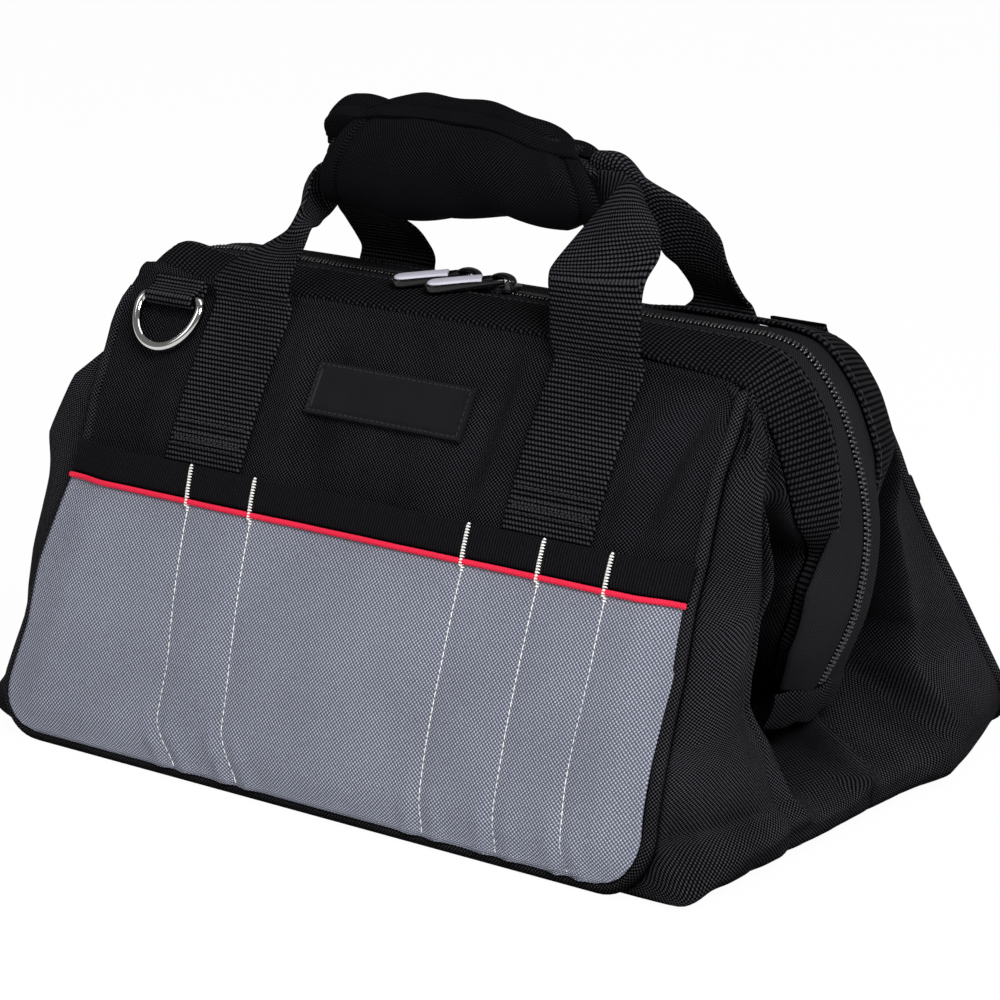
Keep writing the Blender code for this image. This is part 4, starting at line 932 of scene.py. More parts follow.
def make_zipper(wall):
    name = WALL_NAMES[wall]
    foot = band_foot(wall)
    columns = []
    for share in np.linspace(0.0, 1.0, 12):
        lateral = TAPE_START + (tape_edge(wall) + 0.0010 - TAPE_START) * share
        height = 0.0003 - foot * (0.0040 * share**2 - 0.0022 * math.sin(math.pi * share))
        columns.append(beside_zipper(lateral, height, wall))
    grid = np.stack(columns, axis=1)
    obj = cloth(name + "_tape_cloth", grid, TAPE_CLOTH, 0.0007, flip=wall == FRONT)
    keep(obj, side_bend(wall), "coil_plastic", name + "_zipper_tape")

    wave = 0.0006 * rough(np.arange(ZIP_COUNT) * 0.004, 0.0, 21 + wall, 0.012)
    grid = np.stack([band_column(t, wall, wave * t) for t in np.linspace(0.0, 1.0, 14)], axis=1)
    obj = slab(name + "_band_cloth", grid, BAND_WEBBING, 0.0018)
    keep(obj, side_bend(wall), "webbing", name + "_zipper_band")

    line = resample(beside_zipper(0.0, 0.0, wall), 0.0004)
    run = run_lengths(line)
    teeth = []
    place = 0.0004 if wall == FRONT else 0.0004 + TOOTH_PITCH / 2
    while place < run[-1] - 0.0008:
        i = min(int(np.searchsorted(run, place)), len(line) - 2)
        along = unit(line[i + 1] - line[i])
        out = np.array([along[2], 0.0, -along[0]])
        inner = line[i] + out * 0.0008 - (0.0, wall * 0.0004, 0.0)
        outer = line[i] + out * 0.0006 + (0.0, wall * 0.0021, 0.0) + along * 0.0003
        teeth.append((inner, outer, out))
        place += TOOTH_PITCH
    obj = threads(name + "_coil", teeth, 0.00060, COIL, sides=7, arch=0.8)
    keep(obj, side_bend(wall), "coil_plastic")

    up = np.stack([ZIP_NORMALS[:, 0], np.zeros(ZIP_COUNT), ZIP_NORMALS[:, 1]], axis=1)
    rows = stitch_row(band_column(0.10, wall, 0.0009), up, pitch=0.0032, gap=0.0008)
    obj = threads(name + "_band_seam", rows, 0.00024, BLACK_THREAD)
    keep(obj, side_bend(wall), "webbing")


def make_tab(end):
    """The folded fabric end that closes the foot of the zipper."""
    y, share = np.meshgrid(np.linspace(-1.0, 1.0, 25), np.linspace(0.0, 1.0, 13), indexing="ij")
    along = (0.0125 - 0.0030 * y) * share - 0.0012 + 0.0009 * np.sin(7 * y + 2)
    lift = 0.0020 + 0.0014 * np.sin(math.pi * share) + 0.0005 * np.sin(11 * y + 3 * share)
    lift += 0.0024 * share**3 - 0.0055 * np.abs(y) ** 2.4
    spots = ZIP_FOOT + FOOT_DOWN * along[..., None] + FOOT_OUT * lift[..., None]
    grid = np.stack([end * spots[..., 0], 0.0192 * y - 0.0030 * end, spots[..., 1]], axis=-1)
    obj = slab(END_NAMES[end] + "_tab_cloth", grid, BLACK_CLOTH, 0.0024)
    keep(obj, "base", "black_fabric", END_NAMES[end] + "_zipper_tab")


# End gussets

ARC_STEPS = 5
UP_STEPS = 8
ROWS = 120
COLUMNS = 72
# The share of the rows below the zipper's foot, and of the outer edge beside them
SPLIT = 0.42
LOWER_TOP = (ARC_STEPS + 1.3) / (ARC_STEPS + UP_STEPS)
ZIP_END_COUNT = 62
FOOT_REACH = 0.0392
FOOT_SHARES = ((0.66, 0.004), (0.97, 0.14), (1.01, 0.40), (0.93, 0.85))
# How steeply the foot turns up behind the piping
FOOT_POWER = {(FRONT, 1): 36.0, (FRONT, -1): 13.0, (REAR, 1): 0.5, (REAR, -1): 0.5}
# How the foot of the right end lies in or out of its plain outline, as (y, shift) in millimetres
FOOT_SETTLING = (
    (-108, -2.0), (-100, -5.5), (-85, -8.0), (-70, -11.0), (-55, -8.5), (-40, -7.2), (-15, -7.5), (8, -7.0),
    (19, -6.2), (30, -3.5), (42, 1.5), (60, 1.0), (85, 0.0), (108, 0.0),
)
# How far the folded end stands out beside the piping at each of these heights, in millimetres
EAR_HEIGHTS = (0, 15, 50, 80, 100, 120, 135, 150, 160)
EARS = {
    (FRONT, -1): (10.0, 11.5, 18.0, 21.5, 25.8, 18.5, 0.5, -3.5, -1.0),
    (FRONT, 1): (4.0, 8.0, 11.5, 12.0, 12.5, 12.5, 12.0, 9.0, 3.0),
    (REAR, -1): (1.0, 3.0, 6.0, 7.0, 7.0, 7.0, 6.0, 4.0, 2.0),
    (REAR, 1): (0.0, 0.0, 0.0, -1.0, -1.0, -1.0, -1.0, 0.0, 0.0),
}
# Where the fold ends, how deep the hollow is, where it starts and up to where it stays deep
HOLLOWS = {FRONT: (0.52, 0.0360, 0.60, 0.36), REAR: (0.36, 0.0260, 0.40, 0.46)}


def at_shares(line, shares):
    """Points at shares of the way through a line's points."""
    places = shares * (len(line) - 1)
    return np.stack([np.interp(places, np.arange(len(line)), column) for column in line.T], axis=-1)


def gusset_outer(shares, end, wall):
    """The gusset's edge beside the piping, at shares from the base to the top."""
    outline = side_outline(WALL_INSET, PANEL_HEIGHT - 0.004, ARC_STEPS, UP_STEPS)
    x, z = at_shares(outline, shares).T
    y = wall_y(z, wall) - PIPING_RADIUS * (1.0 + slant(z, wall)) + 0.0006
    return np.stack([end * (x - PIPING_LEAN * top_lean(z)), wall * y, z], axis=-1)


def gusset_inner_low(shares, end):
    """The gusset's inner edge up to the zipper's foot."""
    line = [(FLAT_HALF_LENGTH, WALL_INSET)]
    line += [(FLAT_HALF_LENGTH + FOOT_REACH * a, WALL_INSET + CORNER_RADIUS * b) for a, b in FOOT_SHARES]
    line.append(ZIP_FOOT + FOOT_DOWN * 0.0115 + FOOT_OUT * 0.0006)
    x, z = at_shares(catmull(line, 8), shares).T
    return np.stack([end * x, np.zeros_like(x), z], axis=-1)


def gusset_inner_high(shares, end, wall):
    """The gusset's inner edge under the zipper's band."""
    return at_shares(band_column(0.97, wall, -0.0014)[: ZIP_END_COUNT + 1], shares) * (end, 1, 1)


def gusset_grid(end, wall):
    """Rows from the base up; each runs from the piping in to the zipper."""
    t = np.linspace(0.0, 1.0, ROWS)
    low = np.clip(t / SPLIT, 0, 1)
    high = np.clip((t - SPLIT) / (1 - SPLIT), 0, 1)
    outer_shares = np.where(t < SPLIT, low * LOWER_TOP, LOWER_TOP + high * (1 - LOWER_TOP))
    outer = gusset_outer(outer_shares, end, wall)[:, None, :]
    change = ramp(t, SPLIT - 0.015, 0.05)[:, None]
    inner = gusset_inner_low(low, end) * (1 - change) + gusset_inner_high(high, end, wall) * change
    inner = inner[:, None, :]

    t, low, high = t[:, None], low[:, None], high[:, None]
    s = np.linspace(0.0, 1.0, COLUMNS)[None, :] ** 1.35
    eased = 1.0 - (1.0 - s) ** (1.0 + FOOT_POWER[(wall, end)] * (1.0 - ramp(low, 0.30, 0.50)))
    grid = outer * (1 - eased[..., None]) + inner * eased[..., None]
    grid[..., 1] = outer[..., 1] * (1 - s) + inner[..., 1] * s

    fold, depth, near, ending = HOLLOWS[wall]
    ear = from_table(outer[..., 2], EAR_HEIGHTS, EARS[(wall, end)]) * smooth(low / 0.3)
    hollow = depth * ramp(low, 0.60, 0.4) * (1.0 - 0.90 * ramp(high, ending, 0.22))
    swell = 0.0028 * smooth(low / 0.45) * (1.0 - smooth(high / 0.30))
    push = ear * np.sin(math.pi * np.clip(s / fold, 0, 1)) ** 0.6
    push -= hollow * ramp(s, near, 0.13) * smooth((1.0 - s) / 0.10)
    push += swell * np.sin(math.pi * s) ** 0.8
    wrinkles = 0.0008 * rough(s * 0.07, t * 0.12, 31 + wall + end, 0.008)
    wrinkles += 0.0004 * rough(s * 0.09, t * 0.16, 37 + wall + end, 0.0035)
    push += wrinkles * np.sin(math.pi * s) ** 0.5 * smooth(t / 0.06)
    if wall == FRONT:
        # a ridge down the hollow, a pleat beside the piping and a crumple near the top
        ridge = bump(s, 0.55 + 0.30 * np.maximum(0.0, high - 0.30), 0.06)
        push += 0.0060 * ridge * ramp(low, 0.85, 0.15) * smooth((0.72 - high) / 0.25)
        push -= 0.0022 * bump(s, 0.10, 0.03) * ramp(high, 0.60, 0.2)
        push += 0.0030 * bump(s, 0.30, 0.05) * bump(high, 0.84, 0.05)
    grid[..., 0] += end * push
    if wall == FRONT and end > 0:
        # the lowest front corner stands out over its seam
        corner = bump(s, 0.050, 0.045) * bump(low, 0.30, 0.22)
        grid[..., 0] += 0.0040 * corner
        grid[..., 1] -= 0.0048 * corner
        grid[..., 2] -= 0.0030 * corner * smooth(grid[..., 2] / 0.006)
    if end > 0:
        foot = (1.0 - ramp(grid[..., 2], 0.004, 0.036)) * smooth(s / 0.06)
        grid[..., 0] += from_table(grid[..., 1], *zip(*FOOT_SETTLING)) * foot
    return settle(grid, wall, (1.0 - s) ** 2)


def make_gusset(end, wall):
    name = WALL_NAMES[wall] + "_" + END_NAMES[end] + "_gusset"
    obj = cloth(name + "_cloth", gusset_grid(end, wall), PAINTED_LIGHTER_SHELL_CLOTH, 0.0013, flip=end * wall > 0)
    keep(obj, side_bend(wall), "black_fabric", name)


# Handle straps

ACROSS = 13
ALONG = 7
# Rows that lie on the wall, as (height in millimetres, how far the strap's middle stands off)
WALL_ROWS = (
    (96, 0.0013), (102, 0.0013), (108, 0.0013), (116, 0.0016), (123, 0.0016),
    (132, 0.0021), (142, 0.0021), (152, 0.0021), (161, 0.0021),
)
# The left and the right edge of each strap on its wall, in millimetres
STRAP_SPANS = {
    (1, FRONT): (62.5, 103.5),
    (1, REAR): (61, 100),
    (-1, FRONT): (-105, -66),
    (-1, REAR): (-96, -57),
}
# Rows above the wall: x, y and z of five points across the strap, in millimetres
FREE_ROWS = {
    (1, FRONT): (
        (61.0, -34.4, 168, 71.0, -34.6, 168, 81.5, -34.6, 168, 91.5, -34.4, 168, 101.6, -34.0, 168),
        (61.2, -34.2, 181, 71.0, -34.6, 181.2, 81.5, -34.4, 181.4, 92.0, -33.8, 181.7, 101.8, -33, 182),
        (60.4, -33.2, 189.4, 70.5, -33.8, 190, 81.5, -33.6, 190.6, 92.5, -32.6, 191.4, 102.8, -31, 192.2),
        (59.8, -29.2, 193.6, 70.0, -29.2, 195, 81.5, -28.4, 196.8, 93.0, -26.2, 198.6, 103.2, -23, 200.6),
        (65.0, -20.6, 203.4, 71.4, -20.2, 205.4, 79.6, -18.8, 207.2, 88.0, -15.0, 207.8, 92.6, -11.4, 206.6),
        (70.2, -13.6, 212.0, 74.0, -13.2, 213.2, 78.4, -12.2, 214.0, 82.0, -9.8, 213.6, 82.8, -5.6, 211.4),
        (73.6, -8.8, 217.2, 75.0, -8.6, 218.4, 76.6, -8.0, 219.0, 78.0, -6.6, 218.8, 78.0, -3.0, 216.4),
        (69.0, -5.8, 212.5, 69.8, -5.4, 215.0, 70.5, -5.0, 217.4, 71.2, -4.4, 219.6, 71.2, -3.4, 221.6),
        (60.0, -3.4, 208.0, 60.0, -3.4, 211.4, 60.0, -3.4, 214.8, 60.0, -3.2, 218.2, 60.0, -3.0, 221.5),
    ),
    (1, REAR): (
        (69.0, 34.0, 168, 76.2, 34.2, 168, 83.4, 34.2, 168, 90.4, 34.0, 168, 97.2, 33.6, 168),
        (71.0, 31.0, 174, 77.6, 31.4, 173.6, 84.0, 31.6, 173, 90.2, 31.4, 172.4, 96.2, 30.8, 171.6),
        (73.0, 22.0, 183.0, 78.8, 24.4, 182.0, 84.6, 26.4, 180.6, 90.2, 27.4, 179.0, 95.4, 27.4, 177.4),
        (72.8, 13.6, 190.2, 78.2, 16.4, 191.2, 84.2, 19.4, 191.2, 89.8, 22.0, 189.4, 94.6, 23.4, 186.2),
        (74.6, 7.0, 200.8, 79.6, 9.0, 203.2, 85.2, 12.0, 203.8, 90.6, 15.8, 201.6, 94.4, 19.4, 197.4),
        (75.6, 2.6, 210.8, 79.4, 3.0, 213.0, 83.6, 5.0, 213.2, 87.0, 9.2, 210.6, 88.0, 13.8, 206.2),
        (70.0, 0.6, 216.0, 72.8, -0.4, 219.2, 74.6, 1.2, 220.0, 75.2, 6.0, 216.0, 74.6, 11.0, 211.0),
        (62.6, 1.2, 217.4, 64.2, -1.0, 223.0, 65.4, 0.4, 226.6, 65.2, 5.4, 224.6, 64.4, 10.0, 218.8),
        (53.0, 1.4, 216.0, 53.4, -0.6, 221.0, 53.6, 0.8, 225.4, 53.6, 5.4, 225.4, 53.0, 9.0, 220.5),
    ),
    (-1, FRONT): (
        (-106.0, -33.8, 168, -96.5, -34.2, 168, -87.0, -34.4, 168, -77.5, -34.2, 168, -67.5, -34, 168),
        (-97.0, -31.6, 176, -89.2, -32.6, 176, -81.4, -33.0, 176, -74.0, -32.4, 176, -66.0, -31.4, 176.5),
        (-82.0, -27.4, 184, -78.2, -29.0, 183.6, -74.0, -29.6, 183.6, -69.2, -29.0, 184, -63.5, -27.6, 185),
        (-71.6, -24.0, 191, -71.0, -27.0, 190.4, -68.6, -28.2, 190.4, -65.4, -27.4, 190.8, -62.6, -24, 191),
        (-68.2, -20.0, 201.4, -68.4, -22.6, 198.8, -67.8, -23.6, 196.0, -66.8, -21.4, 193, -66.0, -17.0, 190),
        (-71.8, -11, 209.4, -72.6, -14.6, 205.4, -72.8, -15.6, 201, -72.4, -13.4, 196, -71.2, -9, 190),
        (-70.6, -4.6, 213.0, -72.0, -6.8, 209.0, -72.8, -7.6, 204.0, -72.6, -6.8, 198.6, -71.4, -4, 192.0),
        (-63.0, -3.4, 221.0, -63.0, -3.6, 216.0, -63.0, -3.8, 211.0, -63.0, -3.6, 206.0, -63.0, -3.4, 201),
    ),
    (-1, REAR): (
        (-94.0, 33.6, 168, -84.5, 34.0, 168, -75.0, 34.2, 168, -65.5, 34.0, 168, -56.0, 33.6, 168),
        (-93.6, 31.0, 173, -84.0, 31.6, 173, -74.6, 31.8, 173, -65.0, 31.2, 173.4, -55.4, 30.2, 174),
        (-93.0, 24.8, 181.4, -84.4, 26.6, 181, -75.6, 27.0, 181, -66.0, 25.4, 181.4, -54.6, 22.6, 182),
        (-90.6, 18.0, 189, -84.0, 20.4, 188.4, -76.8, 20.8, 188, -69.0, 18.8, 188.4, -59.6, 14.6, 189.6),
        (-81.6, 11.0, 199, -78.0, 13.4, 198, -73.4, 13.8, 197, -68.6, 12.0, 196.6, -64.0, 8.4, 196.6),
        (-75.6, 5.6, 212, -75.8, 7.6, 209.4, -74.4, 8.4, 206.4, -72.0, 7.4, 203.4, -70.0, 5.4, 200.6),
        (-63.0, 3.4, 221.0, -63.0, 3.8, 217.4, -63.0, 4.0, 213.8, -63.0, 3.8, 210.2, -63.0, 3.4, 207),
    ),
}
# The lower part of a strap, sewn to the wall, reaches this many set rows up
LOWER_ROWS = len(WALL_ROWS) + 2
STRAP_STITCH_ROWS = (0.1135, 0.1155, 0.1175, 0.1195, 0.1215)


def make_strap(end, wall):
    name = WALL_NAMES[wall] + "_" + END_NAMES[end]
    left, right = STRAP_SPANS[(end, wall)]
    across = np.linspace(left, right, 5) * MM
    rows = [on_wall(across, z * MM, wall, off) / MM for z, off in WALL_ROWS]
    rows += [np.reshape(row, (5, 3)) for row in FREE_ROWS[(end, wall)]]
    wide = np.array([evenly(catmull(row, 8), ACROSS) for row in rows])
    grid = catmull(wide.reshape(len(wide), -1), ALONG).reshape(-1, ACROSS, 3) * MM
    seam = LOWER_ROWS * ALONG
    obj = slab(name + "_strap_low", grid[: seam + 1], WEBBING, 0.0017)
    keep(obj, (SIDE[wall], "base", (0.0, 0.0, 0.166), (0.0, 0.0, 0.184)), "webbing", name + "_strap_foot")
    obj = slab(name + "_strap_high", grid[seam - 2:], WEBBING, 0.00168)
    keep(obj, ("base", "handle", (0.0, 0.0, 0.188), (0.0, 0.0, 0.212)), "webbing", name + "_handle_strap")

    stitches = []
    _, out = wall_frame(0.118, wall)
    x = np.linspace(left + 2.5, right - 2.5, 20) * MM
    for z in STRAP_STITCH_ROWS:
        stitches += stitch_row(on_wall(x, z, wall, 0.0026), out, pitch=0.0028, gap=0.0006)
    obj = threads(name + "_strap_stitches", stitches, 0.00028, BLACK_THREAD)
    keep(obj, SIDE[wall], "webbing")


# Grip

# Along the grip: place, height of the middle and radius, in millimetres
GRIP_PROFILE = (
    (-82, 214.0, 19.0), (-67, 214.8, 20.5), (-52, 215.2, 21.0), (-33, 216.4, 21.8), (-11, 217.6, 21.1),
    (11, 218.5, 18.9), (25, 217.0, 17.6), (37, 215.0, 16.0), (50, 214.6, 15.7), (75, 214.6, 15.4),
)
GRIP_TABLE = catmull(GRIP_PROFILE, 6) * MM
GRIP_LENGTH_STEPS = 110
GRIP_TURN_STEPS = 72
BORDER = 0.0085
SHELL_INNER = 0.0100
EAR_DOME = 0.0120
# Where each half starts at the left, as (degrees round the grip, x): both are cut aslant
LEFT_ENDS = {
    "grip_pad": ((120, -0.0470), (150, -0.0540), (180, -0.0605), (210, -0.0650), (240, -0.0685),
                 (301, -0.0710)),
    "grip_flap": ((-59, -0.0700), (0, -0.0730), (45, -0.0745), (75, -0.0755), (95, -0.0755), (108, -0.0745),
                  (120, -0.0715)),
}


def grip_section(x):
    """Height of the grip's middle and its radius at a place along it."""
    return np.interp(x, GRIP_TABLE[:, 0], GRIP_TABLE[:, 1]), np.interp(x, GRIP_TABLE[:, 0], GRIP_TABLE[:, 2])


def edge_fall(distance, radius, most=1.0):
    """How far an edge that is rounded to a radius has fallen, as a share of that radius."""
    inward = np.minimum(1.0 - np.clip(distance / radius, 0.0, 1.0), most)
    return 1.0 - np.sqrt(1.0 - inward**2)


def padded_part(part, body, start, end, seed):
    """Half of the wrap: a stuffed shell with a flat border, turned in at its edges. The rear half, the
    flap, reaches past the front at the left as a rounded ear."""
    eared = part == "grip_flap"
    t = np.linspace(0.0, 1.0, GRIP_LENGTH_STEPS)[:, None]
    a = np.linspace(0.0, 1.0, GRIP_TURN_STEPS)[None, :]
    angle = start + (end - start) * a
    left = np.interp(np.degrees(angle), *zip(*LEFT_ENDS[part]))
    right = 0.0520 - 0.0050 * np.sin(angle) + 0.0150 * np.maximum(0.0, -np.cos(angle)) ** 1.3
    x = left + (right - left) * t
    middle, radius = grip_section(x)
    from_end = right - x if eared else np.minimum(x - left, right - x)
    from_edge = np.minimum(a, 1 - a) * abs(end - start) * radius
    near = np.minimum(from_end, from_edge) if eared else from_end
    stuffed = ramp(near, BORDER, 0.007)
    relief = 0.0008 * rough(x, angle * 0.02, seed, 0.012) + 0.0007 * np.sin(x * 190 + 2 * np.sin(angle * 2))
    relief = (relief + 0.0010) * stuffed - 0.0013 * bump(near, BORDER, 0.0010) - 0.0005 * (1 - stuffed)
    inner = SHELL_INNER
    if eared:
        relief -= 0.0012 * smooth((-0.052 - x) / 0.012) * bump(angle, 1.5, 0.75)
        relief -= 0.0020 * bump(x, -0.0475, 0.0045) * bump(angle, 1.6, 0.7)
        relief -= 0.0040 * bump(x, -0.0690, 0.0035) * bump(angle, 1.90, 0.16)
        # the ear's end is a soft dome
        relief -= EAR_DOME * edge_fall(x - left, EAR_DOME, most=0.999)
        inner = SHELL_INNER - 0.0075 * smooth(1.0 - (x - left) / EAR_DOME)
    outer = radius + relief - 0.0016 * (edge_fall(from_end, 0.0022) + edge_fall(from_edge, 0.0016))
    shells = []
    for reach in (outer, inner):
        y, z = reach * np.cos(angle), middle + reach * np.sin(angle)
        shells.append(np.stack(np.broadcast_arrays(x, y, z), axis=-1))
    ring = np.concatenate([shells[0], shells[1][:, ::-4]], axis=1)
    faces = closed_faces(*ring.shape[:2])
    uvs = sheet_uv(ring).reshape(-1, 2)
    obj = mesh_object(part + "_cloth", ring.reshape(-1, 3), faces, uvs, PADDED_CLOTH)
    keep(obj, body, "black_fabric", part)


# Rings

RING_CORNER = 0.004
RING_BOW = RING_DROP - RING_CORNER - 0.0016
RING_PLACE = {FRONT: -RING_X, REAR: RING_X - 0.0075}
LOOP_WIDTH = 0.025
X_AXIS = np.array([1.0, 0.0, 0.0])


def make_ring(wall):
    name = WALL_NAMES[wall]
    hang, _ = wall_frame(RING_BAR_HEIGHT - RING_DROP / 2, wall)
    rise, out = wall_frame(RING_BAR_HEIGHT, wall)
    axis = on_wall(RING_PLACE[wall], RING_BAR_HEIGHT, wall) + out * (0.0020 + RING_WIRE)
    half = RING_WIDTH / 2 - RING_WIRE
    flat = half - RING_CORNER
    quarter = np.linspace(0, math.pi / 2, 9)[1:]
    bend = [(flat + RING_CORNER * math.sin(t), -RING_CORNER * (1 - math.cos(t))) for t in quarter]
    outline = [(x, 0.0) for x in np.linspace(-flat, flat, 14)] + bend
    for t in np.linspace(0, math.pi, 49)[1:-1]:
        outline.append((half * math.cos(t), -RING_CORNER - RING_BOW * math.sin(t)))
    outline += [(-across, up) for across, up in bend[::-1]]
    path = [axis + hang * up + X_AXIS * across for across, up in outline]
    obj = tube(name + "_ring_wire", path, RING_WIRE, NICKEL, sides=18, closed=True)
    keep(obj, name + "_ring", "nickel", name + "_ring")

    radius = RING_WIRE + CLEARANCE + 0.0008
    seam = on_wall(RING_PLACE[wall], PANEL_HEIGHT, wall) + out * 0.0008
    profile = [seam + out * 0.0030 + rise * 0.0030, seam + out * 0.0028 - rise * 0.0006]
    profile += [axis + (out * math.cos(t) - rise * math.sin(t)) * radius for t in np.linspace(0, math.pi, 15)]
    profile += [seam + out * 0.0003 - rise * 0.0006, seam + out * 0.0003 + rise * 0.0030]
    profile = catmull(profile, 2)
    grid = np.stack([profile + X_AXIS * LOOP_WIDTH * s for s in np.linspace(-0.5, 0.5, 9)], axis=1)
    obj = slab(name + "_ring_loop_web", grid, WEBBING, 0.0014)
    keep(obj, SIDE[wall], "webbing", name + "_ring_loop")


# Label

LABEL_THICKNESS = 0.0018
LABEL_ROWS = 45
LABEL_COLUMNS = 157
LABEL_STITCH_INSET = 0.0015


def make_label():
    """A plain rubber field in a raised border, with its back edge closed to the wall."""
    rise, out = wall_frame(LABEL_Z, FRONT)
    base = on_wall(LABEL_X, LABEL_Z, FRONT, 0.0006)
    axes = np.array([X_AXIS, rise, out])
    half = np.array([LABEL_WIDTH / 2, LABEL_HEIGHT / 2])
    columns = np.linspace(-half[0], half[0], LABEL_COLUMNS)
    x, y = np.meshgrid(columns, np.linspace(-half[1], half[1], LABEL_ROWS))
    edge = np.minimum(half[0] - np.abs(x), half[1] - np.abs(y))
    rim = smooth((0.0030 - edge) / 0.0006) * smooth(edge / 0.0005)
    z = LABEL_THICKNESS - 0.0006 + 0.0006 * rim - 0.0004 * (1 - smooth(edge / 0.0004))
    face = np.stack([x, y, z], axis=-1).reshape(-1, 3)
    index = np.arange(len(face)).reshape(x.shape)
    loop = np.concatenate([index[0], index[1:, -1], index[-1, -2::-1], index[-2:0:-1, 0]])
    back = len(face) + np.arange(len(loop))
    faces = grid_faces(LABEL_ROWS, LABEL_COLUMNS)
    faces += list(zip(np.roll(loop, -1), loop, back, np.roll(back, -1)))
    faces.append(back[::-1])
    points = np.concatenate([face, face[loop] * (1, 1, 0)]) @ axes + base
    obj = mesh_object("label_rubber", points, faces, None, PATCH_RUBBER, sharp=45)
    keep(obj, SIDE[FRONT], "label_rubber", "label_patch")
    stitches = []
    reach = half - LABEL_STITCH_INSET
    corners = [(-1, -1), (1, -1), (1, 1), (-1, 1), (-1, -1)]
    corners = [np.array([*corner * reach, LABEL_THICKNESS]) @ axes + base for corner in corners]
    for a, b in zip(corners, corners[1:]):
        stitches += stitch_row(np.array([a, b]), out, pitch=0.0026, gap=0.0009)
    obj = threads("label_stitches", stitches, 0.00022, BLACK_THREAD)
    keep(obj, SIDE[FRONT], "label_rubber")


# Sliders and pulls

PLATE_GAP = 0.0022
CROWN_REACH = 0.0052
CROWN_HALF_WIDTH = 0.0024
CROWN_HALF_THICKNESS = 0.0008
PULL_LENGTH = 0.0284
PULL_WIDTH = 0.0098
PULL_THICKNESS = 0.0030
PULL_ROUND_X = -(PULL_LENGTH - PULL_WIDTH / 2)
# The inlay's rings from its foot up, as (inset, height)
INLAY_RINGS = ((0.0, 0.0), (0.0, 0.0008), (0.0003, 0.0011), (0.0010, 0.00125))


def at_height(outline, z):
    return np.column_stack([outline, np.full(len(outline), z)])


def plate(length, width, thickness, corner, centre, steps=6):
    """The two rings of a flat plate with round corners."""
    outline = []
    for cx, cy, start in ((1, 1, 0), (-1, 1, 90), (-1, -1, 180), (1, -1, 270)):
        for turn in np.radians(np.linspace(start, start + 90, steps + 1)):
            outline.append((cx * (length / 2 - corner) + corner * math.cos(turn),
                            cy * (width / 2 - corner) + corner * math.sin(turn)))
    return np.array([at_height(outline, z) for z in (-thickness / 2, thickness / 2)]) + centre


def tongue(back, half, square, steps):
    """An outline with a square end at the bar and a round one; square is half the bar end's width."""
    turns = np.linspace(math.pi / 2, 3 * math.pi / 2, steps + 1)
    tip = [(PULL_ROUND_X + half * math.cos(t), half * math.sin(t)) for t in turns]
    return [(back, -square), (back, square), *tip]


def solid(name, stacks, material):
    """One mesh out of stacks of rings, each stack closed at both ends."""
    points, faces = [], []
    for rings in stacks:
        rings = np.asarray(rings)
        first = len(points)
        points += list(rings.reshape(-1, 3))
        faces += [tuple(first + v for v in f) for f in closed_faces(*rings.shape[:2])]
    obj = mesh_object(name, points, faces, None, material, sharp=45)
    bm = bmesh.new()
    bm.from_mesh(obj.data)
    bmesh.ops.recalc_face_normals(bm, faces=bm.faces)
    bm.to_mesh(obj.data)
    bm.free()
    obj.data.set_sharp_from_angle(angle=math.radians(45))
    return obj


def bevel(obj, width, segments, limit):
    modifier = obj.modifiers.new("edges", "BEVEL")
    modifier.width = width
    modifier.segments = segments
    modifier.limit_method = "ANGLE"
    modifier.angle_limit = math.radians(limit)


def make_slider(end):
    name = END_NAMES[end]
    x = SLIDER_X[end]
    stacks = []
    for side in (-1, 1):
        middle = (x, 0, ZIPPER_TOP + side * PLATE_GAP)
        stacks.append(plate(0.0135, 0.0088, 0.0013, 0.0026, middle))
    for side in (-1, 1):
        flange = (x - 0.0016, side * 0.0041, ZIPPER_TOP + 0.0012)
        stacks.append(plate(0.0092, 0.0007, 0.0028, 0.0003, flange, steps=2))
    stacks.append(plate(0.004, 0.0006, 0.0050, 0.0002, (x, 0, ZIPPER_TOP), steps=2))
    # the crown: a domed bridge
    angle = np.linspace(0.0, math.pi, 17)[:, None]
    turn = np.linspace(0.0, 2 * math.pi, 13)[None, :-1]
    thick = CROWN_HALF_THICKNESS * np.sin(turn)
    crown_x = x + np.cos(angle) * (CROWN_REACH + thick)
    crown_y = CROWN_HALF_WIDTH * (0.75 + 0.25 * np.sin(angle)) * np.cos(turn)
    crown_z = SLIDER_FACE - 0.0002 + (CROWN_ROOM + 0.0006) * np.sin(angle) ** 0.6 + np.sin(angle) * thick
    stacks.append(np.stack([crown_x, crown_y, crown_z], axis=-1))
    obj = solid(name + "_slider_enamel", stacks, ENAMEL)
    bevel(obj, 0.0004, 3, 35)
    keep(obj, name + "_slider", "black_metal", name + "_slider")


